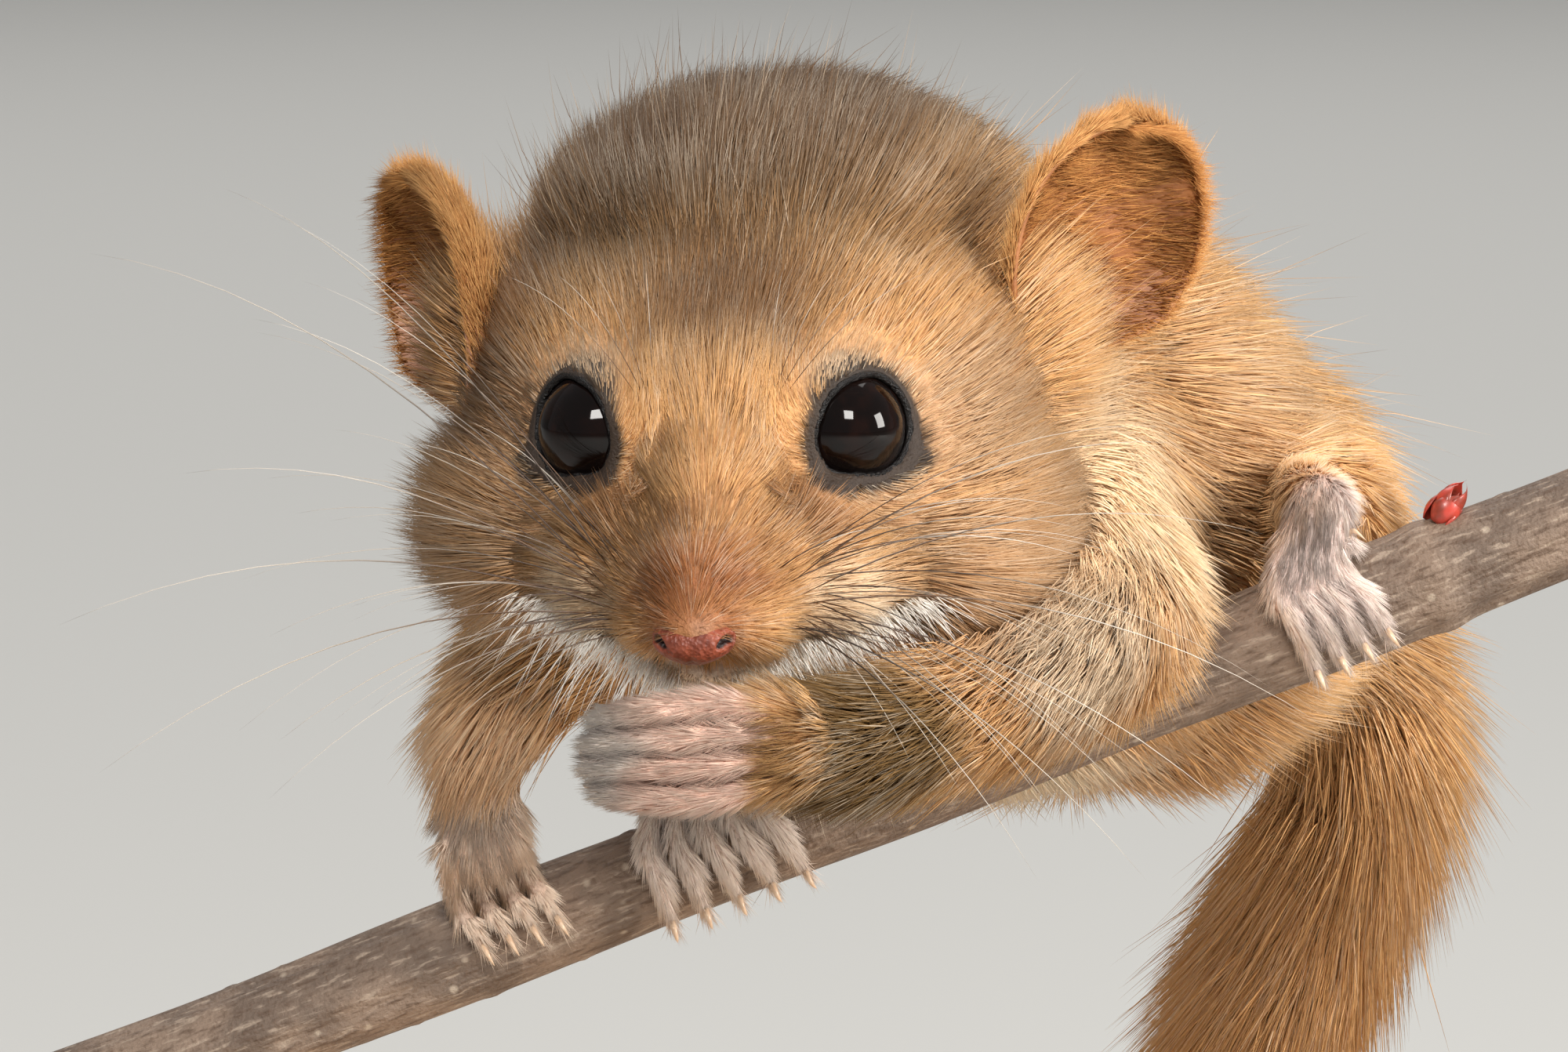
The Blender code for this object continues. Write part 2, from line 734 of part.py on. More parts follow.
def hindfoot_left():
    """The foot seen beside the body: its toes hang over the near side of the twig."""
    heel, sole = (17.4, 1.5, 67.0), (17.8, -2.2, 69.2)
    ball = (18.4, -5.0, 69.6)
    foot = tube("foot", (heel, sole, ball), (1.9, 1.7, 1.5), sides=10)
    toes = [gripping_toe((19.0, -4.6, 69.6), (20.6, 21.9), 0.62, (2.0, 8.0, 20.0))]
    for i in range(4):
        along = (20.4 - 0.6 * i, 21.9 - 1.0 * i)
        start = (19.0 - 0.5 * i, -5.4, 69.3 - 0.15 * i)
        toes.append(gripping_toe(start, along, 0.6, (40.0, 72.0, 104.0 + 4.0 * i)))
    join(foot, toes)
    cut(foot, limb("leg", HINDLEG_LEFT, grow=GAP), torso_form(GAP), twig_form(GAP))
    return node(foot, "hindfoot_left", finish("paw skin", BARE_SKIN, 0.6))


def hindfoot_right():
    """The foot under the chest."""
    heel, sole, ball = (-4.6, 1.6, 60.2), (-4.8, -2.2, 61.2), (-4.8, -5.2, 60.9)
    foot = tube("foot", (heel, sole, ball), (1.9, 1.7, 1.5), sides=10)
    toes = []
    for i in range(5):
        along = (-6.8 + 0.9 * i, -7.4 + 1.35 * i)
        start = (-6.0 + 0.6 * i, -5.6, 60.4 + 0.15 * i)
        toes.append(gripping_toe(start, along, 0.56, (45.0, 80.0, 118.0)))
    join(foot, toes)
    cut(foot, limb("leg", HINDLEG_RIGHT, grow=GAP), torso_form(GAP), twig_form(GAP))
    return node(foot, "hindfoot_right", finish("paw skin", BARE_SKIN, 0.6))


def tail_place(share):
    """The tail's centre, radius and direction at a share of its length."""
    rows = [Vector((*p, r)) for p, r in zip(TAIL_PATH, TAIL_RADII)]
    path = smooth_path(rows, 6)
    place = min(max(share, 0.0), 1.0) * (len(path) - 1.001)
    low = int(place)
    here = path[low].lerp(path[low + 1], place - low)
    along = (path[low + 1].xyz - path[low].xyz).normalized()
    return here.xyz, here[3], along


def lock(name, stations):
    """A flat, tapered lock through (centre, across, out, half width, half thickness), ending in a point."""
    work = bmesh.new()
    rings = []
    for centre, across, out, wide, thick in stations[:-1]:
        corners = (across * wide - out * thick / 2, out * thick, -across * wide - out * thick / 2)
        rings.append([work.verts.new((centre + corner) * MM) for corner in corners])
    tip = work.verts.new(stations[-1][0] * MM)
    work.faces.new(rings[0][::-1])
    for near, far in zip(rings, rings[1:]):
        for i in range(3):
            work.faces.new((near[i], near[(i + 1) % 3], far[(i + 1) % 3], far[i]))
    for i in range(3):
        work.faces.new((rings[-1][i], rings[-1][(i + 1) % 3], tip))
    bmesh.ops.recalc_face_normals(work, faces=work.faces)
    mesh = bpy.data.meshes.new(name)
    work.to_mesh(mesh)
    work.free()
    return new_object(name, mesh)


def tail_lock(share, turn, length):
    """One lock of the tail's hair: it leaves the core, lies along the tail and parts from it at its tip."""
    stations = []
    for along, lift, wide, thick in LOCK_STATIONS:
        reached = share + along * length / TAIL_LENGTH
        centre, radius, axis = tail_place(reached)
        centre = centre + axis * max(0.0, reached - 1.0) * TAIL_LENGTH
        side = (Vector((0, 1, 0)) - axis * axis.y).normalized()
        out = side * math.cos(turn) + axis.cross(side) * math.sin(turn)
        root = radius * TAIL_CORE - LOCK_SUNK
        place = centre + out * (root + (radius - root) * lift)
        stations.append((place, axis.cross(out), out, LOCK_WIDTH * wide, LOCK_THICK * thick))
    return lock("lock", stations)


def tail():
    """The tail: a core half way out in its hair, and rows of locks that overlap towards its tip."""
    body = tube("tail", TAIL_PATH, [r * TAIL_CORE for r in TAIL_RADII], sides=10, per_span=2)
    locks = []
    for row in range(LOCK_ROWS):
        share = 0.03 + 0.9 * row / (LOCK_ROWS - 1)
        for i in range(LOCKS_ROUND):
            turn = 2 * math.pi * (i + 0.5 * (row % 2)) / LOCKS_ROUND + 0.15 * math.sin(3.1 * row + i)
            length = LOCK_LENGTH * (1.0 + 0.08 * math.sin(5.3 * row + 2.7 * i)) * (1.0 - 0.25 * share)
            locks.append(tail_lock(share, turn, length))
    join(body, locks)
    cut(body, torso_form(GAP))
    return node(body, "tail", finish("coat", COAT, 0.85))


def eye(side):
    name = "eye_left" if side > 0 else "eye_right"
    return node(eye_ball(name, side), name, finish("eye", EYE_BLACK, 0.05))


def stand():
    """A beech base, and a steel rod under each end of the twig."""
    base = box("stand_base", (0, 0, BASE_SIZE.z / 2), BASE_SIZE)
    edge = base.modifiers.new("Edge", "BEVEL")
    edge.width = BASE_EDGE * MM
    edge.segments = 3
    apply_modifiers(base)
    node(base, "stand_base", finish("beech", BEECH, 0.45))
    for name, side in (("stand_rod_left", -1), ("stand_rod_right", 1)):
        along = side * ROD_OUT / TWIG_ALONG.x
        head_of_rod = TWIG_MIDDLE + TWIG_ALONG * along
        low = BASE_SIZE.z + GAP
        heights = (low, (low + head_of_rod.z) / 2, head_of_rod.z)
        points = [(head_of_rod.x, head_of_rod.y, z) for z in heights]
        rod = tube(name, points, (ROD_RADIUS,) * 3, sides=16, per_span=1, round_ends=False)
        cut(rod, twig_form(GAP))
        node(rod, name, finish("steel", STEEL, 0.3, 1.0))


def main():
    clear_scene()
    head()
    for side in (1, -1):
        eye(side)
        ear(side)
    neck()
    torso()
    foreleg_left()
    foreleg_right()
    forepaw_left()
    forepaw_right()
    hindleg_left()
    hindleg_right()
    hindfoot_left()
    hindfoot_right()
    tail()
    twig()
    stand()


main()
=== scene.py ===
# %% [markdown]
# # A hazel dormouse on its twig
# The packed model is a fixed frame: plain solids at their real size. This script dresses it. One smooth
# skin takes the place of all the flesh, a coat of modelled hairs grows from it, and the eyes, nose, claws
# and whiskers are made as pieces of their own. Lengths are in millimetres until a mesh is made.

# %% Load the packed frame
import math
from collections import namedtuple

import bpy
import numpy as np
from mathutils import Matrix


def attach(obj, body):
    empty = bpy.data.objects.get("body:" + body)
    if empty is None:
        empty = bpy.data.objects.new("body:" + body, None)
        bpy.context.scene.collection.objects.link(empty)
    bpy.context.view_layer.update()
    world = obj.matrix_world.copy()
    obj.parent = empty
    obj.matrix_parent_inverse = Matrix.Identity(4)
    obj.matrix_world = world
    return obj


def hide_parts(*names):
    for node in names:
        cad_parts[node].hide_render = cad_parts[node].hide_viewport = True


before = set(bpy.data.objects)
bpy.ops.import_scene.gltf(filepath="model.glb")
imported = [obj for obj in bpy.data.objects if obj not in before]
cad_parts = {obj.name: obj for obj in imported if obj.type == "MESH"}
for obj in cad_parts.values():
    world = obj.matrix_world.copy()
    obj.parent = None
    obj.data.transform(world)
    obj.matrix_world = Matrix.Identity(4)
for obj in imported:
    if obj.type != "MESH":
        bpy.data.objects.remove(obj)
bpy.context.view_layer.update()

import openvdb
from mathutils import Euler, Matrix, Vector
from mathutils.kdtree import KDTree

MM = 0.001

# %% [markdown]
# A long lens from a quarter of a metre gives a portrait of a small animal its flat, close look. The
# camera stands a little above the face and looks eight degrees down. A shorter lens from nearer by would
# swell the nose and shrink the ears.

# %% The camera
FACE_PLANE = Vector((-2.0, -21.0, 71.0))
CAMERA_DISTANCE = 250.0
CAMERA_DOWN = math.radians(8.0)

camera = bpy.data.objects.new("camera", bpy.data.cameras.new("camera"))
camera.data.lens = 160.0
camera.data.sensor_width = 36.0
camera.data.clip_start = 0.01
back = Vector((0.0, -math.cos(CAMERA_DOWN), math.sin(CAMERA_DOWN)))
camera.location = (FACE_PLANE + back * CAMERA_DISTANCE) * MM
camera.rotation_euler = Euler((math.pi / 2 - CAMERA_DOWN, 0.0, 0.0))
bpy.context.scene.collection.objects.link(camera)
bpy.context.scene.camera = camera
print("camera at", [round(v, 4) for v in camera.location])

# %% [markdown]
# An animal's body is easiest to say as a few soft forms that run into each other: balls for the head and
# trunk, tapered tubes for legs, fingers and tail. Each form knows how far a point is from it. It also
# carries the facts of the coat that grows there: how deep the coat is, how long a hair is, how far it
# stands off the skin, how densely and how finely it grows, and how much it gathers in locks. Sculpting by
# hand would give the same shapes, but forms that are said in numbers can be measured, moved and blended
# again.

# %% The head's frame, and a ball
HEAD_AT = Vector((-4.4, -20.5, 74.5))
HEAD_TURN = Euler((math.radians(11.0), 0.0, math.radians(-7.5)), "XYZ").to_matrix()
HEAD_TURN = HEAD_TURN @ Matrix.Rotation(math.radians(-1.2), 3, "Y")
HEAD_AXES = np.array(HEAD_TURN)
NOSE_TIP = np.array((0.0, -9.2, -4.4))

Coat = namedtuple("Coat", "zone depth length lift density radius clump")


def to_head(points):
    """World points as seen from the head: x to its left, y to its back, z to its crown."""
    return (points - np.array(HEAD_AT)) @ HEAD_AXES


def from_head(points):
    return np.asarray(points) @ HEAD_AXES.T + np.array(HEAD_AT)


def unit(vectors):
    return vectors / np.maximum(np.linalg.norm(vectors, axis=-1, keepdims=True), 1e-9)


class Ball:
    """An ellipsoid of flesh. In the head its hair lies away from the nose, elsewhere along one direction."""

    def __init__(self, centre, radii, coat, lie=None, in_head=False):
        self.centre = from_head(centre) if in_head else np.array(centre, float)
        self.radii = np.array(radii, float) - coat.depth
        self.axes = HEAD_AXES if in_head else np.eye(3)
        self.coat = coat
        self.lie_along = lie
        reach = max(self.radii)
        self.low, self.high = self.centre - reach, self.centre + reach

    def distance(self, points):
        away = (points - self.centre) @ self.axes / self.radii
        near = np.linalg.norm(away, axis=-1)
        slope = np.linalg.norm(away / self.radii, axis=-1)
        return near * (near - 1.0) / np.maximum(slope, 1e-6)

    def lie(self, points):
        if self.lie_along is None:
            return (to_head(points) - NOSE_TIP) @ HEAD_AXES.T
        return np.broadcast_to(np.array(self.lie_along, float), points.shape)


print("the tip of the nose is at", [round(float(v), 1) for v in from_head(NOSE_TIP)], "mm")

# %% [markdown]
# A leg, a finger or the tail is a tube along a smooth curve, thinner towards its end. The curve runs
# through a few given points, and the tube is then a chain of short tapered cones.
# Blender's own curves could make such a tube too, but only a distance can be blended with the other
# forms.

# %% Tapered tubes
def smooth_path(rows, per_span):
    """Points along a Catmull-Rom curve through the rows, whose last column is the radius."""
    rows = [np.array(row, float) for row in rows]
    rows = [2 * rows[0] - rows[1], *rows, 2 * rows[-1] - rows[-2]]
    path = []
    for a, b, c, d in zip(rows, rows[1:], rows[2:], rows[3:]):
        for t in np.arange(per_span) / per_span:
            bend = (2 * a - 5 * b + 4 * c - d) * t * t + (3 * b - 3 * c + d - a) * t**3
            path.append(0.5 * (2 * b + (c - a) * t + bend))
    return np.array([*path, rows[-2]])


class Limb:
    """A tapered tube along a curve. Its hair lies towards its far end."""

    def __init__(self, stations, coat, per_span=4):
        rows = [(*point, radius - coat.depth) for point, radius in stations]
        self.path = smooth_path(rows, per_span)
        self.coat = coat
        reach = self.path[:, 3:]
        self.low = (self.path[:, :3] - reach).min(axis=0)
        self.high = (self.path[:, :3] + reach).max(axis=0)

    def nearest(self, points):
        """The distance from each point, and the direction of the stretch that it is nearest to."""
        best = np.full(points.shape[:-1], 1e3)
        along = np.zeros(points.shape)
        for a, b in zip(self.path, self.path[1:]):
            span = b[:3] - a[:3]
            t = np.clip((points - a[:3]) @ span / max(span @ span, 1e-9), 0.0, 1.0)
            gone = np.linalg.norm(points - a[:3] - t[..., None] * span, axis=-1)
            found = gone - (a[3] + t * (b[3] - a[3]))
            nearer = found < best
            best = np.where(nearer, found, best)
            along[nearer] = span
        return best, along

    def distance(self, points):
        return self.nearest(points)[0]

    def lie(self, points):
        return unit(self.nearest(points)[1])


trial = smooth_path(((0, 0, 0, 1), (2, 1, 0, 1), (4, 0, 0, 1)), 4)
print("a curve through 3 points becomes a path of", len(trial))

# %% [markdown]
# The head is wide and low, with round cheeks, a short muzzle and a soft brow. The coat is shortest on the
# nose and lengthens towards the cheeks and the nape. One ball would be too plain, so the head is a few
# balls, each for a part such as the skull, a cheek or the chin.

# %% The head's forms
FACE = "face"
SIDES = (1, -1)


def head_ball(centre, radii, *coat, sides=(1,)):
    made = []
    for side in sides:
        made.append(Ball((centre[0] * side, *centre[1:]), radii, Coat(*coat), in_head=True))
    return made


head_forms = [
    *head_ball((0.0, 7.5, -0.4), (10.6, 9.0, 7.0), "crown", 1.2, 2.7, 10, 96, 0.030, 0.15),
    *head_ball((0.0, 10.6, 4.2), (8.4, 7.0, 5.4), "crown", 1.6, 3.3, 12, 80, 0.032, 0.18),
    *head_ball((0.0, 1.6, 0.3), (4.9, 4.9, 3.4), FACE, 0.75, 2.7, 12, 112, 0.027, 0.14),
    *head_ball((6.4, 4.6, -4.5), (5.9, 7.0, 5.2), "cheeks", 1.3, 3.5, 15, 92, 0.028, 0.18, sides=SIDES),
    *head_ball((9.6, 9.6, 0.0), (2.4, 2.8, 3.8), "crown", 0.8, 3.4, 22, 74, 0.031, 0.2, sides=SIDES),
    *head_ball((3.2, 0.1, -2.6), (2.2, 3.0, 1.9), FACE, 0.6, 1.9, 13, 100, 0.029, 0.1, sides=SIDES),
    *head_ball((0.0, -1.4, -1.3), (2.6, 3.8, 2.0), FACE, 0.5, 1.6, 12, 118, 0.027, 0.08),
    *head_ball((0.0, -4.3, -3.3), (1.9, 3.3, 1.7), FACE, 0.42, 1.2, 13, 135, 0.025, 0.08),
    *head_ball((0.0, -3.2, -4.4), (3.0, 3.9, 2.3), FACE, 0.45, 1.4, 14, 130, 0.026, 0.08),
    *head_ball((3.5, -0.8, -4.6), (2.8, 3.9, 3.2), FACE, 0.55, 2.2, 15, 104, 0.029, 0.12, sides=SIDES),
    *head_ball((1.6, -4.7, -5.3), (1.6, 2.5, 1.5), FACE, 0.4, 1.5, 17, 125, 0.026, 0.1, sides=SIDES),
    *head_ball((0.0, -7.6, -4.9), (1.2, 1.1, 0.8), FACE, 0.2, 0.6, 16, 130, 0.020, 0.0),
    *head_ball((0.0, -1.8, -7.4), (2.7, 4.3, 1.8), FACE, 0.7, 2.4, 22, 70, 0.030, 0.2),
    *head_ball((0.0, 5.0, -6.5), (7.4, 6.5, 4.0), "cheeks", 1.3, 3.8, 22, 52, 0.036, 0.25),
]
print(len(head_forms), "forms in the head")

# %% [markdown]
# The trunk is crouched: the back makes one round hump behind the head, and the chest and belly close in
# over the twig. The coat here is longer and softer, and it lies back and down. The neck hardly shows on a
# crouched dormouse, so it is only a wide blend between head and trunk.

# %% The trunk, the legs and the tail
def trunk_coat(depth, length):
    return Coat("body", depth, length, 19, 42, 0.034, 0.28)


trunk_forms = [
    Ball((-1.2, -6.3, 75.4), (11.2, 9.5, 10.4), trunk_coat(1.8, 4.6), (0.4, 0.9, 0.1)),
    Ball((1.0, -3.0, 71.5), (11.4, 10.0, 10.4), trunk_coat(1.9, 5.0), (0.5, 0.8, -0.35)),
    Ball((-1.0, -10.3, 67.0), (7.2, 6.2, 7.0), trunk_coat(1.5, 4.4), (0.2, 0.5, -0.85)),
    Ball((6.5, 5.0, 69.5), (12.4, 13.0, 11.4), trunk_coat(1.9, 5.2), (0.5, 0.8, -0.35)),
    Ball((12.0, 13.5, 65.5), (10.4, 11.6, 10.4), trunk_coat(1.9, 5.4), (0.45, 0.75, -0.5)),
    Ball((6.0, 4.0, 63.5), (9.0, 10.5, 6.0), trunk_coat(1.6, 4.2), (0.3, 0.85, -0.4)),
]
FOREARM = Coat("limbs", 1.0, 3.4, 20, 66, 0.030, 0.3)
THIGH = Coat("limbs", 1.3, 3.8, 18, 48, 0.035, 0.3)
SHANK = Coat("limbs", 0.6, 2.0, 18, 50, 0.034, 0.3)
leg_forms = [
    Limb((((7.0, -8.0, 69.4), 4.6), ((9.4, -12.8, 66.9), 3.7), ((6.8, -18.6, 65.1), 2.8),
          ((1.9, -24.3, 64.0), 2.3), ((-1.3, -27.5, 64.2), 2.0)), FOREARM),
    Limb((((-6.4, -7.4, 66.6), 3.6), ((-10.2, -8.4, 64.9), 3.1), ((-12.6, -9.8, 62.6), 2.4),
          ((-13.4, -9.9, 60.6), 1.9)), FOREARM),
    Limb((((14.0, 13.0, 65.0), 6.6), ((17.2, 6.5, 66.4), 5.3), ((18.0, 1.4, 67.4), 3.3),
          ((18.1, -1.2, 68.3), 2.4)), THIGH),
    Limb((((18.2, 0.8, 67.6), 3.0), ((17.6, 5.2, 64.6), 2.0), ((17.3, 4.4, 65.0), 1.8)), SHANK),
    Limb((((6.0, 12.0, 62.0), 6.4), ((-1.0, 6.5, 61.5), 5.2), ((-4.4, 0.8, 60.6), 3.6)), THIGH),
]

TAIL_PATH = ((19.0, 20.0, 62.5), (21.6, 24.3, 59.6), (22.7, 25.4, 55.0), (21.4, 25.0, 50.0),
             (18.8, 24.4, 43.5), (17.0, 23.6, 35.5), (16.8, 23.0, 27.0), (18.4, 22.3, 19.0),
             (20.8, 21.8, 12.5))
TAIL_RADII = (2.6, 2.9, 3.1, 3.2, 3.2, 3.1, 2.9, 2.4, 1.1)
TAIL_CORE = 0.62
TAIL = Coat("tail", 0.0, 6.4, 24, 70, 0.032, 0.22)
tail_form = Limb([(p, r * TAIL_CORE) for p, r in zip(TAIL_PATH, TAIL_RADII)], TAIL)
print(len(trunk_forms), "forms in the trunk,", len(leg_forms), "in the legs")

# %% [markdown]
# The feet are built on the twig. A toe starts at the foot and bends round the bark, so its points are
# given as places along the twig and angles round it. The raised hand has four fingers side by side. Set
# as plain points in space, the toes would leave the bark as soon as the twig is moved.

# %% A toe and a finger
TWIG_MIDDLE = Vector((0.0, -5.5, 58.0))
TWIG_ALONG = Vector((1.0, 0.055, 0.383)).normalized()
TWIG_RADIUS = 2.0
TWIG_HALF = 36.5
TWIG_TOP = (Vector((0, 0, 1)) - TWIG_ALONG * TWIG_ALONG.z).normalized()
TWIG_FRONT = TWIG_ALONG.cross(TWIG_TOP)
TOE_CLEAR = 0.2

PALM = Coat("paws", 0.3, 1.6, 14, 150, 0.023, 0.5)
FINGER = Coat("paws", 0.17, 1.2, 12, 200, 0.022, 0.5)


def on_twig(along, angle, out):
    """A point round the twig: angle 0 is on top, 90 degrees is the side that the animal faces."""
    turn = math.radians(angle)
    around = TWIG_TOP * math.cos(turn) + TWIG_FRONT * math.sin(turn)
    return TWIG_MIDDLE + TWIG_ALONG * along + around * (TWIG_RADIUS + out)


def toe(start, along, radius, angles):
    out = radius + TOE_CLEAR
    points = [start]
    for share, angle in zip((0.35, 0.7, 1.0), angles):
        points.append(tuple(on_twig(along[0] + (along[1] - along[0]) * share, angle, out)))
    return Limb(list(zip(points, (radius * 1.1, radius, radius * 0.95, radius * 0.6))), FINGER)


def raised_finger(i):
    wrist = Vector((-2.2, -28.2, 64.3))
    high = 1.6 - 1.08 * i
    ends_back = 0.3 * abs(i - 1.5)
    base = wrist + Vector((-0.1, -0.5, high * 0.8))
    knuckle = wrist + Vector((-2.2, -1.15, high))
    middle = wrist + Vector((-4.5, -1.45, high * 0.94 - 0.1))
    end = wrist + Vector((-6.4 + ends_back, -0.2, high * 0.78 - 0.35))
    curl = wrist + Vector((-6.7 + ends_back, 1.0, high * 0.7 - 0.5))
    return Limb(list(zip((base, knuckle, middle, end, curl), (0.5, 0.62, 0.6, 0.55, 0.36))), FINGER)


print("the top of the twig is at", [round(v, 1) for v in on_twig(0.0, 0.0, 0.0)], "mm")

# %% [markdown]
# Four fingers are raised to the mouth. The other fingers and all the toes go round the twig, each from
# its own start on the hand or foot, and the palms and soles are balls and short tubes behind them.

# %% Every finger and toe
digits = [raised_finger(i) for i in range(4)]
for i in range(4):
    start = (-14.6 + 0.75 * i, -10.2, 57.5 + 0.15 * i)
    digits.append(toe(start, (-14.9 + 0.95 * i, -14.4 + 1.0 * i), 0.5, (40.0, 60.0, 80.0)))
digits.append(toe((19.0, -4.6, 69.6), (20.6, 21.9), 0.62, (2.0, 8.0, 20.0)))
for i in range(4):
    start = (19.0 - 0.5 * i, -5.4, 69.3 - 0.15 * i)
    digits.append(toe(start, (20.4 - 0.6 * i, 21.9 - 1.0 * i), 0.6, (40.0, 72.0, 104.0 + 4.0 * i)))
for i in range(5):
    start = (-6.0 + 0.6 * i, -5.6, 60.4 + 0.15 * i)
    digits.append(toe(start, (-6.8 + 0.9 * i, -7.4 + 1.35 * i), 0.56, (45.0, 80.0, 118.0)))

foot_forms = [
    Ball((-3.0, -28.1, 64.3), (2.4, 1.2, 2.1), PALM, (-1.0, 0.0, -0.1)),
    Ball((-13.4, -9.7, 58.1), (1.75, 1.4, 2.2), PALM, (0.1, -0.3, -1.0)),
    Limb((((17.4, 1.5, 67.0), 1.9), ((17.8, -2.2, 69.2), 1.7), ((18.4, -5.0, 69.6), 1.5)), PALM),
    Limb((((-4.6, 1.6, 60.2), 1.9), ((-4.8, -2.2, 61.2), 1.7), ((-4.8, -5.2, 60.9), 1.5)), PALM),
    *digits,
]
print(len(digits), "fingers and toes")

# %% [markdown]
# The skin is one surface round all the forms. Each form's distance is worked out on a grid of small
# cells, near the form only, and a smooth minimum runs them together, as clay is smoothed where two balls
# meet. Blender's own OpenVDB module then makes a mesh where the distance is zero. The eye sockets and the
# mouth are taken out of the field in the same way, so their edges come out soft. Joining meshes with cuts
# would be the usual way, but it leaves hard seams that fur does not hide.

# %% The field of the skin
CELL = 0.2
REACH = 2.4
HEAD_BLEND, TRUNK_BLEND, LEG_BLEND, DIGIT_BLEND = 1.7, 3.4, 3.0, 0.12
NAPE_BLEND, SHOULDER_BLEND = 6.0, 4.4
EYE_RADIUS = 2.3
SOCKET_ROOM = 0.02
LID = 0.3
MOUND_BLEND, LID_EDGE = 0.7, 0.2
OPENING_DEEP = 0.8
LID_OPENINGS = (52, 38, 37, 41, 50, 55, 56, 57, 51, 50, 50, 53)

blends = [HEAD_BLEND] * len(head_forms) + [NAPE_BLEND] + [TRUNK_BLEND] * (len(trunk_forms) - 1)
blends += [SHOULDER_BLEND] + [LEG_BLEND] * len(leg_forms) + [LEG_BLEND / 3] * 4 + [DIGIT_BLEND] * len(digits)
forms = [*head_forms, *trunk_forms, *leg_forms, tail_form, *foot_forms]
print(len(forms), "forms to run together")

# %% [markdown]
# The lids are not a plain circle. How far they open is given at twelve places round the eye, so the
# opening gets its corner towards the nose, and the skin closes on the ball all the way round. A hole that
# is cut in a finished mesh has a hard edge, so the opening is part of the field.

# %% The eyes' openings
def eye_facts(side):
    """An eye's centre, the way it looks, and two directions across it, the first towards the nose."""
    centre = from_head((4.35 * side, 1.25, -0.45))
    out = unit(np.array((0.62 * side, -0.76, 0.16))) @ HEAD_AXES.T
    corner = np.array((-0.62 * side, -0.50, -0.50)) @ HEAD_AXES.T
    corner = unit(corner - out * (corner @ out))
    return centre, out, corner, np.cross(out, corner)


def lid_angle(turn):
    """How far the lids open from the eye's axis, given every 30 degrees round it from the inner corner."""
    return np.radians(np.interp(turn, np.radians(np.arange(12) * 30.0), LID_OPENINGS, period=2 * math.pi))


def opening_distance(points, side):
    """Below zero in the eyeball and in the opening between the lids."""
    centre, out, corner, other = eye_facts(side)
    away = points - centre
    far = np.linalg.norm(away, axis=-1)
    turn = np.arctan2(away @ other, away @ corner)
    from_axis = np.arccos(np.clip(away @ out / np.maximum(far, 1e-6), -1.0, 1.0))
    cone = far * np.sin(np.clip(from_axis - lid_angle(turn * side), -math.pi / 2, math.pi / 2))
    return np.minimum(far - EYE_RADIUS - SOCKET_ROOM, np.maximum(cone, far - EYE_RADIUS - OPENING_DEEP))


def smooth_min(a, b, blend):
    near = np.maximum(blend - np.abs(a - b), 0.0) / blend
    return np.minimum(a, b) - near * near * blend / 4.0


print("the lids open by", min(LID_OPENINGS), "to", max(LID_OPENINGS), "degrees from the eye's axis")

# %% [markdown]
# The grid reaches a little past the furthest form. Each form is worked out in its own window of cells
# only, which saves most of the work, and each eye gets a low mound of lid before it is cut out.

# %% Filling the grid
MARGIN = 1.5
MOUND_REACH = 4.5

low = np.min([form.low for form in forms], axis=0) - MARGIN
high = np.max([form.high for form in forms], axis=0) + MARGIN
steps = np.ceil((high - low) / CELL).astype(int)
field = np.full(steps, REACH, np.float32)


def window(box_low, box_high):
    """The part of the grid inside a box, and the world points of its cells."""
    first = np.clip(np.floor((box_low - low) / CELL).astype(int), 0, steps)
    last = np.clip(np.ceil((box_high - low) / CELL).astype(int) + 1, 0, steps)
    axes = [low[i] + CELL * np.arange(first[i], last[i]) for i in range(3)]
    points = np.stack(np.meshgrid(*axes, indexing="ij"), axis=-1)
    return tuple(slice(a, b) for a, b in zip(first, last)), points


for form, blend in zip(forms, blends):
    part, points = window(form.low - REACH, form.high + REACH)
    field[part] = smooth_min(field[part], form.distance(points), blend)
for side in SIDES:
    centre = eye_facts(side)[0]
    part, points = window(centre - MOUND_REACH, centre + MOUND_REACH)
    mound = np.linalg.norm(points - centre, axis=-1) - EYE_RADIUS - LID
    raised = smooth_min(field[part], mound, MOUND_BLEND)
    field[part] = -smooth_min(-raised, opening_distance(points, side), LID_EDGE)
print("field of", field.shape, "cells")

# %% [markdown]
# The mouth of a dormouse is a short line under the nose that curls up into the cheeks. It is a shallow
# groove, found by walking out from the middle of the head until the field says that the skin is reached.
# A painted line would do from in front, but only a groove keeps its shadow from the side.

# %% The groove of the mouth
HEAD_HEART = np.array((0.0, 3.0, -2.5))


def field_at(points):
    """The field at any points, mixed from the eight cells round each."""
    place = np.clip((points - low) / CELL, 0, np.array(steps) - 1.001)
    cell = place.astype(int)
    share = place - cell
    total = np.zeros(len(points))
    for corner in np.ndindex(2, 2, 2):
        weight = np.prod(np.where(corner, share, 1.0 - share), axis=1)
        total += weight * field[tuple((cell + corner).T)]
    return total


def head_skin(direction):
    """The skin's point, in the world, in a direction from the head's heart."""
    toward = unit(np.array(direction, float))
    reach = np.arange(2.0, 16.0, 0.05)
    along = from_head(HEAD_HEART + toward * reach[:, None])
    outside = np.nonzero(field_at(along) > 0.0)[0]
    return along[outside[0]]


def groove(points, radii, blend):
    made = Limb(list(zip(points, radii)), Coat(FACE, 0.0, 0, 0, 0, 0, 0))
    part, cells = window(made.low - 1.0, made.high + 1.0)
    field[part] = -smooth_min(-field[part], made.distance(cells), blend)
    return made


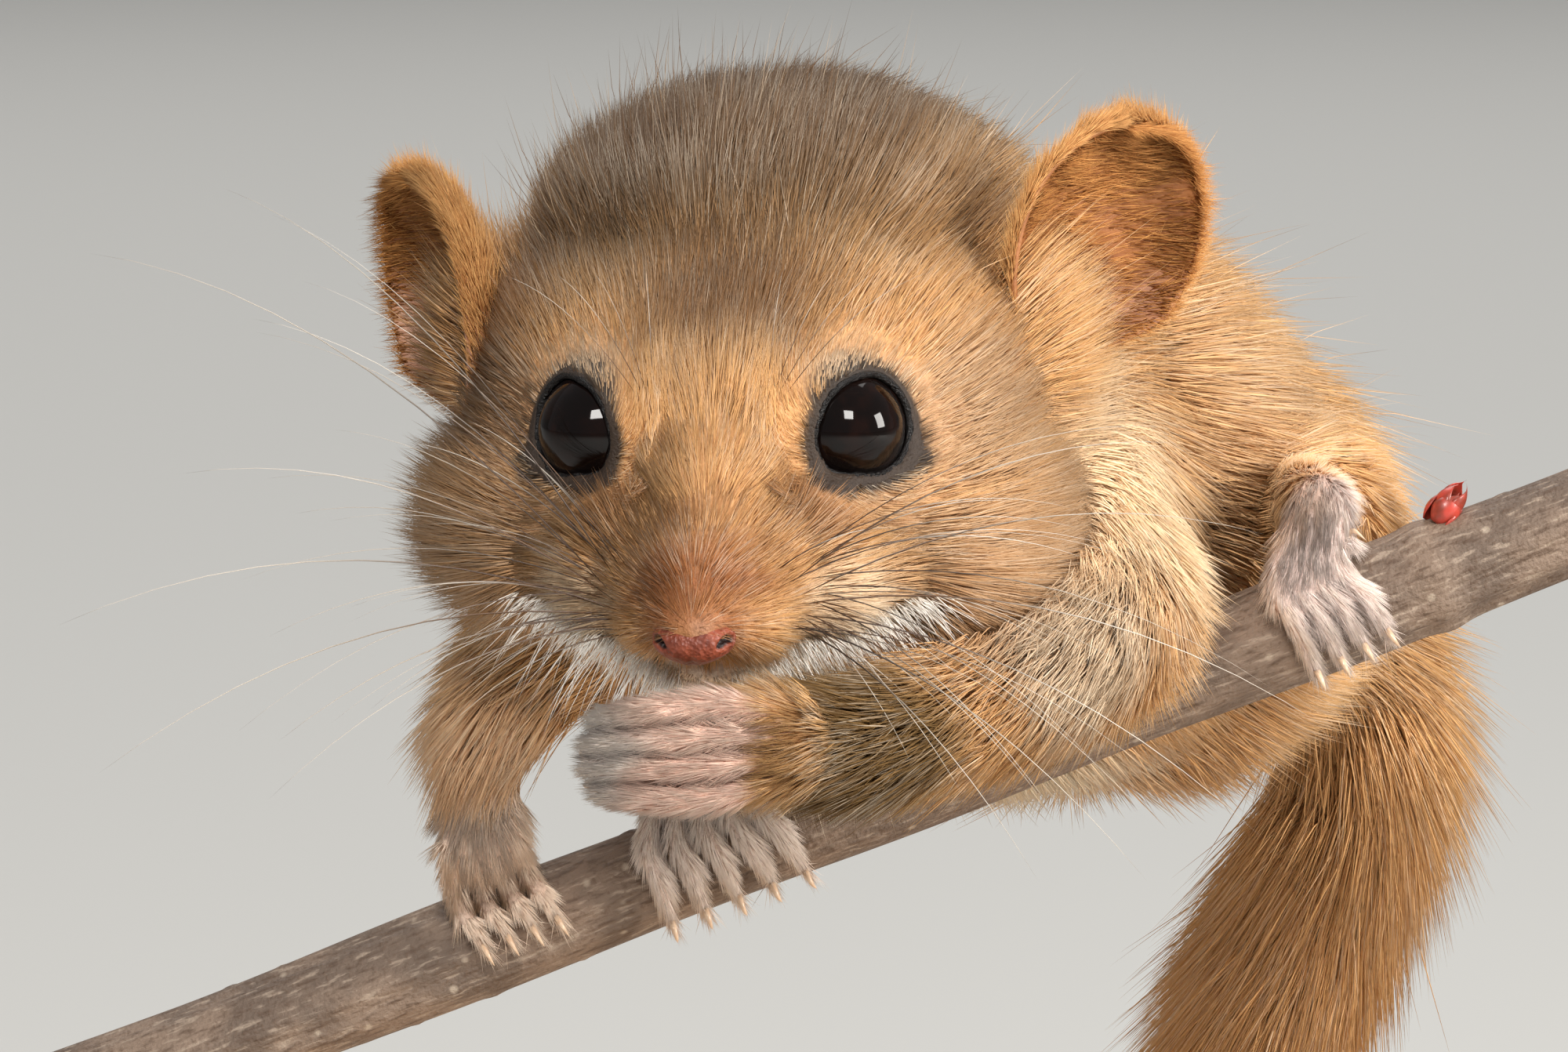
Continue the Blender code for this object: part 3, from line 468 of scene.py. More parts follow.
mouth_rows = [head_skin((0.34 * s, -1.0, -0.50 - 0.10 * s * s)) for s in np.linspace(-1.0, 1.0, 9)]
mouth_wide = [0.16 + 0.16 * (1.0 - abs(s)) for s in np.linspace(-1.0, 1.0, 9)]
mouth = groove(mouth_rows, mouth_wide, 0.3)
cleft_rows = [head_skin((0.0, -1.0, dip)) for dip in (-0.36, -0.40, -0.44, -0.48)]
groove(cleft_rows, (0.12, 0.22, 0.24, 0.2), 0.25)
print("mouth is", round(float(np.linalg.norm(mouth_rows[0] - mouth_rows[-1])), 1), "mm wide")

# %% [markdown]
# The zero surface of the field becomes the skin's mesh. A piece is a mesh with a material that rides with
# the packed model.

# %% The skin's mesh
def new_piece(name, mesh, material):
    """Link a mesh as a piece that rides with the still model."""
    made = bpy.data.objects.new(name, mesh)
    bpy.context.scene.collection.objects.link(made)
    mesh.materials.append(material)
    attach(made, "root")
    return made


def mesh_from(name, points, faces):
    mesh = bpy.data.meshes.new(name)
    mesh.from_pydata((np.asarray(points) * MM).tolist(), [], [list(face) for face in faces])
    mesh.polygons.foreach_set("use_smooth", [True] * len(mesh.polygons))
    mesh.update()
    return mesh


grid = openvdb.FloatGrid(background=REACH)
grid.copyFromArray(np.clip(field, -REACH, REACH))
skin_points, skin_faces = grid.convertToQuads(isovalue=0.0)
skin_points = skin_points * CELL + low
print("skin of", len(skin_points), "points")

# %% [markdown]
# The ears are too thin for the cells, so each starts as a sheet: rows of points across a half-round cup,
# from its root to its top.

# %% The ears' sheets
EAR_COLUMNS, EAR_ROWS = 34, 30
EAR_SUNK = 0.2
EAR_WIDEST = 0.45
Ear = namedtuple("Ear", "foot up across height half depth")
EARS = {
    1: Ear((12.9, 9.4, -0.6), (0.10, 0.18, 0.97), (0.80, 0.60, 0.0), 8.8, 4.0, 2.3),
    -1: Ear((-12.1, 9.4, -3.1), (-0.05, 0.16, 0.98), (-0.48, 0.88, 0.0), 9.4, 4.6, 3.2),
}


def ear_sheet(side):
    """The middle surface of an ear, in the world, as rows of points from its root to its top."""
    ear = EARS[side]
    up, across = unit(np.array(ear.up)), unit(np.array(ear.across))
    behind = np.cross(up, across) * side
    rows = []
    for v in np.sin(math.pi / 2 * np.linspace(-EAR_SUNK, 1.0, EAR_ROWS)):
        if v < EAR_WIDEST:
            width = 0.45 + 0.55 * math.sin(math.pi / 2 * v / EAR_WIDEST)
        else:
            width = max(0.0, 1.0 - ((v - EAR_WIDEST) / (1.0 - EAR_WIDEST)) ** 2.4) ** 0.5
        half = max(ear.half * width, 0.2)
        deep = ear.depth * (1.0 - 0.45 * v) * min(1.0, width + 0.1)
        turn = np.linspace(0.0, math.pi, EAR_COLUMNS)[:, None]
        row = np.array(ear.foot) + up * ear.height * v - across * np.cos(turn) * half
        sunk = np.array((-side * 1.4, 0.3, 0.0)) * ear.height * max(0.12 - v, 0.0)
        rows.append(row + behind * np.sin(turn) * deep + sunk)
    return from_head(np.array(rows))


ear_sheets = {side: ear_sheet(side) for side in SIDES}
print("each ear is a sheet of", EAR_ROWS, "by", EAR_COLUMNS, "points")

# %% [markdown]
# A shell gives a sheet its thickness: the same points moved a little to the front and to the back, with
# faces on both and round the rim. The two ears are joined to the skin as one mesh. Blender's solidify
# modifier does much the same, but here the rim is made thinner than the middle.

# %% Ears with a thickness
EAR_THICK = 0.3


def shell_faces(rows, columns, first=0):
    """Faces of a sheet of points, of the same sheet again behind it, and of the rim between the two."""
    behind = rows * columns
    faces = []
    for j in range(rows - 1):
        for i in range(columns - 1):
            a = first + j * columns + i
            quad = (a, a + 1, a + 1 + columns, a + columns)
            faces += [quad[::-1], tuple(k + behind for k in quad)]
    rim = list(range(columns)) + [j * columns + columns - 1 for j in range(1, rows)]
    rim += [(rows - 1) * columns + i for i in range(columns - 2, -1, -1)]
    rim += [j * columns for j in range(rows - 2, 0, -1)]
    for a, b in zip(rim, rim[1:] + rim[:1]):
        faces.append((first + a, first + b, first + b + behind, first + a + behind))
    return faces


def shell(sheet, thickness):
    """A closed shell round a sheet of points, thinner towards its rim."""
    rows, columns = sheet.shape[:2]
    along = np.gradient(sheet, axis=1)
    up = np.gradient(sheet, axis=0)
    normal = unit(np.cross(along, up))
    u, v = np.meshgrid(np.linspace(-1, 1, columns), np.linspace(0, 1, rows))
    thin = thickness * (1.0 - 0.45 * np.maximum(u**8, v**8))[..., None]
    front, behind = sheet - normal * thin / 2, sheet + normal * thin / 2
    points = np.concatenate([front.reshape(-1, 3), behind.reshape(-1, 3)])
    return points, shell_faces(rows, columns)


all_points, all_faces = [skin_points], [list(map(tuple, skin_faces))]
for side in SIDES:
    points, faces = shell(ear_sheets[side], EAR_THICK)
    all_faces.append([tuple(k + sum(map(len, all_points)) for k in face) for face in faces])
    all_points.append(points)
skin_mesh = mesh_from("skin", np.concatenate(all_points), [f for faces in all_faces for f in faces])
print("skin has", len(skin_mesh.polygons), "faces")

# %% [markdown]
# Skin and hair must carry the same markings, so one function colours both. It starts from the golden
# ochre of the back and lays soft-edged patches over it: cream under the chin and chest, pale rings round
# the eyes, a browner crown, an orange muzzle. Some patches are painted shade rather than colour: the
# crown is partly darkened for the shade on its upturned top, the right side of the crown and the right
# temple are darkened as shade on the side away from the key lamp, and the forearm as shade under the
# cheek. Patches of the head are placed in the head's own frame. A painted texture would need a flat map
# of the whole body, and a patch is easier to move.

# %% The markings, with painted shade
def paint(red, green, blue):
    """A colour as a painter reads it off a screen, made linear for the shader."""
    return tuple(((c / 255.0 + 0.055) / 1.055) ** 2.4 if c > 10 else c / 3295.0 for c in (red, green, blue))


GOLDEN = paint(226, 176, 118)
Patch = namedtuple("Patch", "centre radii edge colour strength")


def both(centre, *rest):
    """A patch of the head and its twin on the other side."""
    return Patch(centre, *rest), Patch((-centre[0], *centre[1:]), *rest)


HEAD_PATCHES = (
    # Browner crown, partly real colour and partly painted shade where the top turns up and away from the
    # lamps.
    Patch((0.0, 11.0, 7.0), (11.0, 13.0, 8.0), 0.4, paint(106, 79, 53), 0.92),
    # Painted shade: the right side of the crown only, on the side turned away from the key lamp.
    Patch((-5.8, 7.0, 5.2), (5.2, 7.0, 5.2), 0.3, paint(98, 72, 48), 0.6),
    Patch((0.0, 1.6, 2.6), (5.0, 5.0, 3.8), 0.35, paint(146, 106, 69), 0.85),
    Patch((0.0, -3.0, -2.2), (2.4, 4.4, 2.6), 0.5, paint(222, 172, 118), 0.8),
    *both((7.8, 2.2, -5.4), (5.6, 6.6, 4.6), 0.5, paint(194, 152, 110), 0.9),
    *both((8.2, 3.0, -0.6), (3.4, 4.6, 3.2), 0.4, paint(208, 170, 130), 0.85),
    # Painted shade: a darker, browner patch on the right temple only, turned away from the key lamp.
    Patch((-8.4, 5.4, 0.4), (4.6, 5.4, 5.6), 0.3, paint(142, 94, 52), 0.6),
    *both((5.6, 0.2, 1.5), (2.8, 3.0, 2.3), 0.45, paint(228, 198, 164), 0.85),
    *both((5.8, -0.6, -3.2), (3.0, 3.0, 1.9), 0.5, paint(194, 154, 112), 0.8),
    *both((3.3, -2.6, -2.5), (2.0, 3.2, 1.9), 0.4, paint(166, 118, 77), 0.85),
    Patch((0.0, -6.4, -4.0), (3.3, 4.9, 3.0), 0.3, paint(152, 90, 46), 0.9),
    *both((4.2, -4.0, -5.2), (2.5, 2.8, 1.6), 0.45, paint(252, 224, 188), 0.9),
    Patch((0.2, -8.5, -4.5), (0.8, 1.1, 0.6), 0.3, paint(180, 138, 108), 0.6),
    Patch((0.0, -4.0, -8.4), (4.6, 6.0, 2.3), 0.5, paint(252, 238, 218), 0.95),
    *both((4.8, -3.0, -7.0), (3.8, 4.2, 1.5), 0.5, paint(250, 232, 206), 0.9),
    Patch((0.0, 4.0, -10.6), (4.6, 8.0, 3.6), 0.4, paint(248, 236, 214), 0.9),
)
BODY_PATCHES = (
    Patch((-2.5, -14.0, 62.0), (6.5, 9.0, 6.0), 0.5, paint(248, 240, 222), 0.95),
    Patch((4.0, 2.0, 57.5), (11.0, 14.0, 5.4), 0.5, paint(246, 234, 210), 0.95),
    Patch((8.0, 12.0, 80.0), (14.0, 18.0, 7.0), 0.4, paint(206, 158, 110), 0.7),
    # Browner top of the head and nape, partly real colour and partly painted shade where it faces up.
    Patch((-1.0, -4.0, 85.0), (12.0, 10.0, 8.5), 0.4, paint(116, 88, 62), 0.85),
    Patch((14.0, -2.0, 72.0), (7.0, 9.0, 7.0), 0.3, paint(232, 190, 142), 0.7),
    Patch((9.6, -12.0, 70.6), (6.6, 6.6, 6.0), 0.4, paint(250, 220, 180), 0.9),
    Patch((8.2, -18.0, 66.6), (5.4, 4.8, 3.8), 0.5, paint(232, 208, 178), 0.9),
    # Painted shade: the forearm darkened where it lies under the cheek.
    Patch((1.6, -25.4, 64.2), (4.8, 4.6, 3.6), 0.5, paint(128, 98, 56), 0.95),
    Patch((-12.4, -9.8, 61.8), (3.8, 3.8, 4.4), 0.4, paint(240, 200, 160), 0.85),
    Patch((-6.0, -28.8, 64.2), (4.4, 3.2, 3.2), 0.85, paint(244, 208, 190), 1.0),
    Patch((-8.8, -28.6, 64.0), (3.3, 3.6, 3.8), 0.5, paint(255, 242, 232), 1.0),
    Patch((-13.4, -10.2, 55.2), (5.2, 5.2, 6.0), 0.75, paint(246, 222, 202), 1.0),
    Patch((20.2, -6.4, 66.8), (5.0, 5.4, 5.8), 0.6, paint(252, 234, 226), 1.0),
    Patch((-5.2, -7.4, 57.6), (6.0, 4.8, 5.4), 0.8, paint(240, 222, 210), 1.0),
)
print(len(HEAD_PATCHES), "patches on the head and", len(BODY_PATCHES), "on the body")

# %% [markdown]
# The patches are laid one after another. A patch is strong near its middle and fades to nothing at its
# edge, and a dark edge round the lids comes last. Each point of a mesh keeps its colour, so a whole hair
# has the colour of the place that it grows from, and the shader has little to work out.

# %% The colour at a point
LID_RING = paint(28, 21, 18)
HAIR_RING, SKIN_RING = (0.12, 0.34), (0.34, 0.66)
RING_STRENGTH = 0.96


def soft_step(values, start, end):
    t = np.clip((values - start) / (end - start), 0.0, 1.0)
    return t * t * (3.0 - 2.0 * t)


def waves(points, size, seed):
    """A smooth random vector at each point, from a few plane waves about a size long."""
    draw = np.random.default_rng(seed)
    total = np.zeros((len(points), 3))
    for _ in range(7):
        heading = unit(draw.normal(size=3)) * (2 * math.pi / size) * draw.uniform(0.6, 1.5)
        total += np.sin(points @ heading + draw.uniform(0, 2 * math.pi))[:, None] * draw.normal(size=3)
    return total / 3.0


def markings_at(points, ring=HAIR_RING):
    """The coat's colour at points near the skin. Small waves make the borders of the patches ragged."""
    ragged = points + 0.4 * waves(points, 2.0, 21)
    colour = np.tile(GOLDEN, (len(points), 1))
    for patches, where in ((BODY_PATCHES, ragged), (HEAD_PATCHES, to_head(ragged))):
        for patch in patches:
            near = np.linalg.norm((where - patch.centre) / patch.radii, axis=1)
            share = patch.strength * (1.0 - soft_step(near, patch.edge, 1.0))[:, None]
            colour += share * (np.array(patch.colour) - colour)
    to_lids = np.minimum(opening_distance(points, 1), opening_distance(points, -1))
    share = RING_STRENGTH - RING_STRENGTH * soft_step(to_lids, *ring)
    return colour + share[:, None] * (np.array(LID_RING) - colour)


def keep_markings(mesh, colours):
    kept = mesh.attributes.new("markings", "FLOAT_VECTOR", "POINT")
    kept.data.foreach_set("vector", colours.astype(np.float32).reshape(-1))


print("the tip of the nose is", np.round(markings_at(from_head(NOSE_TIP)[None])[0], 2))

# %% [markdown]
# Materials are made of shader nodes. These few words add a node, set it and join it in one line, so that
# a finish further down reads as a recipe. The same nodes could be joined by hand in the shader editor.

# %% Words for shader nodes
class Nodes:
    """Short words for adding and joining shader nodes."""

    def __init__(self, tree):
        self.tree = tree

    def add(self, kind, inputs=None, **settings):
        made = self.tree.nodes.new(kind)
        for name, value in settings.items():
            setattr(made, name, value)
        for name, value in (inputs or {}).items():
            self.put(made.inputs[name], value)
        return made

    def put(self, socket, value):
        if isinstance(value, bpy.types.NodeSocket):
            self.tree.links.new(value, socket)
        else:
            socket.default_value = value

    def math(self, operation, *values):
        made = self.add("ShaderNodeMath", operation=operation)
        for socket, value in zip(made.inputs, values):
            self.put(socket, value)
        return made.outputs[0]

    def vector(self, operation, *values):
        made = self.add("ShaderNodeVectorMath", operation=operation)
        for socket, value in zip(made.inputs, values):
            self.put(socket, value)
        return made.outputs["Value" if operation == "LENGTH" else "Vector"]

    def ramp(self, value, low_end, high_end, low_out=0.0, high_out=1.0):
        made = self.add("ShaderNodeMapRange", interpolation_type="SMOOTHSTEP")
        for socket, item in zip(made.inputs, (value, low_end, high_end, low_out, high_out)):
            self.put(socket, item)
        return made.outputs["Result"]

    def mix(self, share, first, second, blend="MIX"):
        made = self.add("ShaderNodeMix", data_type="RGBA", blend_type=blend)
        colours = [socket for socket in made.inputs if socket.type == "RGBA"]
        self.put(made.inputs["Factor"], share)
        for socket, value in zip(colours, (first, second)):
            self.put(socket, (*value, 1.0) if isinstance(value, tuple) else value)
        return next(socket for socket in made.outputs if socket.type == "RGBA")

    def noise(self, where, scale, detail=3.0):
        made = self.add("ShaderNodeTexNoise", {"Vector": where, "Scale": scale, "Detail": detail})
        return made.outputs["Fac"]


def head_place(nodes, place):
    """The same place in the head's own frame."""
    turned = {"Vector": place, "Location": HEAD_AT, "Rotation": HEAD_TURN.to_euler()}
    return nodes.add("ShaderNodeMapping", turned, vector_type="TEXTURE").outputs["Vector"]


print("words for nodes:", [word for word in vars(Nodes) if not word.startswith("_")])

# %% [markdown]
# A finish is a Principled shader whose colour comes from nodes. Each starts from the same short function,
# and every constant is set on the shader's own socket. Hair is darker at its root and has a tone of its
# own, which the hairs' meshes carry as two values, along and tone. Blender's own hair shader is made for
# strands, and these are solid meshes, so the plain shader is used.

# %% The hair's finish
def new_finish(name, roughness, **sockets):
    """A material, its nodes and its shader, with the constants set on the shader."""
    material = bpy.data.materials.new(name)
    material.use_nodes = True
    nodes = Nodes(material.node_tree)
    shader = material.node_tree.nodes["Principled BSDF"]
    shader.inputs["Roughness"].default_value = roughness
    for socket, value in sockets.items():
        shader.inputs[socket.replace("_", " ")].default_value = value
    return material, nodes, shader


def attribute(nodes, name, output="Fac"):
    return nodes.add("ShaderNodeAttribute", attribute_name=name).outputs[output]


def coat_finish():
    """Hair: darker at the root, each with a tone of its own, and a few dark guard hairs among them."""
    material, nodes, shader = new_finish("coat", 0.6, Specular_IOR_Level=0.25)
    along, tone = attribute(nodes, "along"), attribute(nodes, "tone")
    colour = attribute(nodes, "markings", "Color")
    deep = nodes.mix(0.3, colour, paint(140, 94, 56))
    body = nodes.mix(nodes.ramp(along, 0.0, 0.5), deep, colour)
    light = nodes.mix(0.4, body, paint(255, 242, 220))
    body = nodes.mix(nodes.ramp(tone, 0.5, 1.0, 0.0, 0.8), body, light)
    dark = nodes.mix(0.65, body, paint(74, 48, 30))
    body = nodes.mix(nodes.ramp(tone, 0.0, 0.3, 0.7, 0.0), body, dark)
    frosted = nodes.math("MULTIPLY", nodes.ramp(along, 0.55, 1.0), nodes.ramp(tone, 0.45, 0.8, 0.0, 0.35))
    nodes.put(shader.inputs["Base Color"], nodes.mix(frosted, body, paint(250, 236, 216)))
    return material


COAT = coat_finish()
print("finish:", COAT.name)

# %% [markdown]
# Under the coat the skin takes the same markings, darkened, so that it doesn't shine through. The ears
# have a finish of their own, paler low in the cup. The skin replaces all the packed solids of flesh.

# %% The skin's finish, and the skin as a piece
def object_place(nodes):
    """The point's place on the object, in millimetres."""
    place = nodes.vector("SCALE", nodes.add("ShaderNodeTexCoord").outputs["Object"])
    place.node.inputs["Scale"].default_value = 1.0 / MM
    return place


def add_bump(nodes, shader, height, distance_mm, strength=1.0):
    bump = nodes.add("ShaderNodeBump", {"Height": height, "Strength": strength, "Distance": distance_mm * MM})
    nodes.put(shader.inputs["Normal"], bump.outputs["Normal"])


def skin_finish():
    material, nodes, shader = new_finish("skin", 0.65)
    place = object_place(nodes)
    under_coat = nodes.mix(0.5, attribute(nodes, "markings", "Color"), paint(232, 220, 216), "MULTIPLY")
    pores = nodes.noise(place, 5.0)
    nodes.put(shader.inputs["Base Color"], nodes.mix(nodes.ramp(pores, 0.3, 0.7, 0.0, 0.3), under_coat,
                                                     paint(168, 140, 124), "MULTIPLY"))
    add_bump(nodes, shader, nodes.noise(place, 9.0), 0.08)
    return material


def ear_skin_finish():
    material, nodes, shader = new_finish("ear skin", 0.55)
    place = object_place(nodes)
    blotch = nodes.noise(place, 0.6)
    colour = nodes.mix(nodes.ramp(blotch, 0.35, 0.65), paint(166, 108, 62), paint(140, 86, 46))
    high = nodes.add("ShaderNodeSeparateXYZ", {"Vector": head_place(nodes, place)}).outputs["Z"]
    colour = nodes.mix(nodes.ramp(high, 0.4, 2.6, 0.6, 0.0), colour, paint(208, 160, 134))
    nodes.put(shader.inputs["Base Color"], colour)
    add_bump(nodes, shader, nodes.noise(place, 5.0), 0.05)
    return material


keep_markings(skin_mesh, markings_at(np.concatenate(all_points), SKIN_RING))
SKIN = skin_finish()
skin = new_piece("skin", skin_mesh, SKIN)
skin_mesh.materials.append(ear_skin_finish())
on_ears = np.arange(len(skin_mesh.polygons)) >= len(skin_faces)
skin_mesh.polygons.foreach_set("material_index", on_ears.astype(np.int32))
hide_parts("head", "neck", "torso", "foreleg_left", "foreleg_right", "forepaw_left", "forepaw_right",
            "hindleg_left", "hindleg_right", "hindfoot_left", "hindfoot_right", "tail", "ear_left",
            "ear_right")
print("finishes:", ", ".join(material.name for material in skin_mesh.materials))

# %% [markdown]
# Fur is many thin solid hairs. A hair here is a spindle: a sunk root, a ring of three points at its
# widest, and a tip. All hairs of a zone are one mesh, written straight from arrays, which is thousands of
# times faster than adding them one by one. Blender's hair curves would be quicker to grow, but they don't
# leave Blender as solid shapes.

# %% A hair's triangles
RING = 3


def hair_faces(first, rings):
    """The triangles of one hair. With first at 1 its root is a point, and at 0 it is cut square."""
    faces = [(0, 1 + (i + 1) % RING, 1 + i) for i in range(RING)] if first else [(2, 1, 0)]
    for j in range(rings - 1):
        for i in range(RING):
            a, b = first + j * RING + i, first + j * RING + (i + 1) % RING
            faces += [(a, b, b + RING), (a, b + RING, a + RING)]
    last, tip = first + (rings - 1) * RING, first + rings * RING
    return np.array(faces + [(last + i, last + (i + 1) % RING, tip) for i in range(RING)])


def triangle_mesh(name, points, corners):
    """A mesh from its points and the numbers of three points for each triangle, in one row."""
    mesh = bpy.data.meshes.new(name)
    mesh.vertices.add(len(points))
    mesh.vertices.foreach_set("co", (points * MM).astype(np.float32).reshape(-1))
    mesh.loops.add(len(corners))
    mesh.loops.foreach_set("vertex_index", corners.astype(np.int32))
    mesh.polygons.add(len(corners) // 3)
    mesh.polygons.foreach_set("loop_start", np.arange(0, len(corners), 3, dtype=np.int32))
    mesh.update(calc_edges=True)
    mesh.polygons.foreach_set("use_smooth", np.ones(len(mesh.polygons), bool))
    return mesh


print("a hair has", len(hair_faces(1, 1)), "triangles, or", len(hair_faces(0, 1)), "with its root cut square")

# %% [markdown]
# Each point of a hair knows how far along it is and what tone the hair has, and it keeps the colour of
# the place that the hair grows from. The root's place on the skin also gives each hair its own small patch
# of the texture map, so that baked colours stay with the hair.

# %% Hairs as a piece
UV_PATCH = 0.003


def keep_values(mesh, label, values):
    mesh.attributes.new(label, "FLOAT", "POINT").data.foreach_set("value", values.astype(np.float32))


def hairs_piece(name, spines, radii, tones, places, material=COAT, pointed=True, colours=None):
    """Hairs from (hairs, points, 3) spines, root first. Without a pointed root, the root is a ring too."""
    count, stations = spines.shape[:2]
    first = 1 if pointed else 0
    rings = stations - 1 - first
    axis = unit(spines[:, -1] - spines[:, 0])
    helper = np.where(np.abs(axis[:, 2:]) < 0.9, np.array([[0.0, 0.0, 1.0]]), np.array([[1.0, 0.0, 0.0]]))
    across = unit(np.cross(axis, helper))
    other = np.cross(axis, across)
    per_hair = 1 + first + RING * rings
    points = np.empty((count, per_hair, 3))
    points[:, 0], points[:, -1] = spines[:, 0], spines[:, -1]
    start = (np.arange(count) * 2.399)[:, None]
    for j in range(rings):
        for i in range(RING):
            turn = start + 2 * math.pi * i / RING
            ring = across * np.cos(turn) + other * np.sin(turn)
            points[:, first + j * RING + i] = spines[:, first + j] + ring * radii[:, j:j + 1]
    faces = hair_faces(first, rings)
    corners = (faces[None] + per_hair * np.arange(count)[:, None, None]).reshape(-1)
    mesh = triangle_mesh(name, points.reshape(-1, 3), corners)
    steps_along = np.arange(first, rings + first) / (rings + first)
    along = np.concatenate([[0.0] * first, np.repeat(steps_along, RING), [1.0]])
    around = np.concatenate([[0.5] * first, np.tile(np.arange(RING) / (RING - 1.0), rings), [0.5]])
    keep_values(mesh, "along", np.tile(along, count))
    keep_values(mesh, "tone", np.repeat(tones, per_hair))
    if colours is not None:
        keep_markings(mesh, np.repeat(colours, per_hair, axis=0))
    layout = np.stack([around, along], axis=1)[faces.reshape(-1)]
    maps = places[:, None] * (1.0 - UV_PATCH) + layout[None] * UV_PATCH
    mesh.uv_layers.new(name="OFBake").data.foreach_set("uv", maps.astype(np.float32).reshape(-1))
    return new_piece(name, mesh, material)


print("each hair's patch of the map is", UV_PATCH, "of its width")

# %% [markdown]
# Hairs grow at points of the skin's triangles. A point is drawn more often in a large triangle than in a
# small one, so the areas are needed first, and a normal at each point of the skin says which way is out.

# %% The skin's triangles
def triangle_soup(points, faces):
    faces = np.asarray(faces)
    triangles = np.concatenate([faces[:, [0, 1, 2]], faces[:, [0, 2, 3]]])
    corners = points[triangles]
    area = np.linalg.norm(np.cross(corners[:, 1] - corners[:, 0], corners[:, 2] - corners[:, 0]), axis=1) / 2
    return triangles, corners, area


def vertex_normals(points, triangles):
    corners = points[triangles]
    facing = np.cross(corners[:, 1] - corners[:, 0], corners[:, 2] - corners[:, 0])
    total = np.zeros_like(points)
    for i in range(3):
        np.add.at(total, triangles[:, i], facing)
    return unit(total)


triangles, corners, area = triangle_soup(skin_points, skin_faces)
normals = vertex_normals(skin_points, triangles)
print("the skin's area is", round(float(area.sum()) / 100.0, 1), "square cm")

# %% [markdown]
# Where the hairs grow is drawn at random over the skin, more often where the coat is dense. Each hair asks
# the forms near it how it should lie, and forms that meet share the answer, so the coat turns smoothly
# from the forehead to the nape and out along the legs.

# %% Where hairs grow and how they lie
rng = np.random.default_rng(7)
HAIRS = 264_000
ZONES = ("face", "crown", "cheeks", "body", "limbs", "paws", "tail")
ZONE_BLEND = 0.9


def coat_at(points):
    """The coat's facts at points of the skin, shared among the forms that are near."""
    total = np.full(len(points), 1e-9)
    facts = np.zeros((len(points), 5))
    lie = np.zeros((len(points), 3))
    nearest = np.full(len(points), 1e3)
    zone = np.zeros(len(points), int)
    for form in forms:
        near = np.all((points > form.low - REACH) & (points < form.high + REACH), axis=1)
        chosen = np.nonzero(near)[0]
        away = form.distance(points[chosen])
        weight = np.exp(-np.maximum(away, 0.0) / ZONE_BLEND)
        facts[chosen] += weight[:, None] * np.array(form.coat[2:])
        lie[chosen] += weight[:, None] * unit(form.lie(points[chosen]))
        total[chosen] += weight
        closer = away < nearest[chosen]
        nearest[chosen[closer]] = away[closer]
        zone[chosen[closer]] = ZONES.index(form.coat.zone)
    return facts / total[:, None], lie, zone


density = coat_at(corners.mean(axis=1))[0][:, 2]
share = area * density
picked = rng.choice(len(area), HAIRS, p=share / share.sum())
mixing = rng.dirichlet((1.0, 1.0, 1.0), HAIRS)
roots = np.einsum("ij,ijk->ik", mixing, corners[picked])
root_normals = unit(np.einsum("ij,ijk->ik", mixing, normals[triangles[picked]]))
facts, lie, zone = coat_at(roots)
print("hairs to grow:", {name: int((zone == i).sum()) for i, name in enumerate(ZONES)})

# %% [markdown]
# Some places stay bare or nearly so: the rims of the eyes, the tip of the nose, the lips' edge, the soles
# that hold the twig. Hairs close to the eyes and the lips are shorter, and hairs by an eye run round it.

# %% Bare places
NOSE_PAD = np.array((0.0, -8.6, -5.4))
NOSE_PAD_RADII = np.array((1.4, 1.2, 0.72))
EYE_BARE, MOUTH_BARE, NOSE_BARE, TWIG_BARE = 0.12, 0.12, 0.9, 0.35


def round_the_eyes(points, lie, to_eye):
    """The lie of hair that parts at an eye and runs round the lids, not over them."""
    for side in SIDES:
        centre, out = eye_facts(side)[:2]
        away = points - centre
        away = unit(away - (away @ out)[:, None] * out)
        inward = np.minimum(np.sum(lie * away, axis=1), 0.0)
        near = 1.0 - soft_step(to_eye[side], 0.6, 2.6)
        lie = lie + away * ((0.5 - inward) * near)[:, None]
    return lie


def from_twig(points):
    away = points - np.array(TWIG_MIDDLE)
    across = away - (away @ np.array(TWIG_ALONG))[:, None] * np.array(TWIG_ALONG)
    return np.linalg.norm(across, axis=1) - TWIG_RADIUS


to_eyes = {side: opening_distance(roots, side) for side in SIDES}
to_eye = np.minimum(to_eyes[1], to_eyes[-1])
lie = round_the_eyes(roots, unit(lie), to_eyes)
to_mouth = mouth.distance(roots)
to_nose = np.linalg.norm((to_head(roots) - NOSE_PAD) / NOSE_PAD_RADII, axis=1)
growing = (to_eye > EYE_BARE) & (to_mouth > MOUTH_BARE) & (to_nose > NOSE_BARE)
growing &= from_twig(roots) > TWIG_BARE
shorter = (0.3 + 0.7 * soft_step(to_eye, 0.3, 2.2)) * (0.45 + 0.55 * soft_step(to_mouth, 0.1, 0.9))
roots, root_normals, facts, lie, zone = (a[growing] for a in (roots, root_normals, facts, lie, zone))
shorter, to_eye = shorter[growing], to_eye[growing]
print(int((~growing).sum()), "hairs left out at bare places")

# %% [markdown]
# A hair leaves the skin at its own angle and then bends down along the lie. Its middle point makes that
# bend. More points would bend it more smoothly, but at this size one bend is enough, and every point
# counts when there are so many hairs.

# %% Growing the coat
count = len(roots)
length = facts[:, 0] * shorter * rng.normal(1.0, 0.16, count).clip(0.55, 1.5)
lift = np.radians(facts[:, 1] * rng.normal(1.0, 0.25, count).clip(0.4, 1.8))
radius = facts[:, 3] * rng.normal(1.08, 0.16, count).clip(0.65, 1.6)
clump = facts[:, 4]

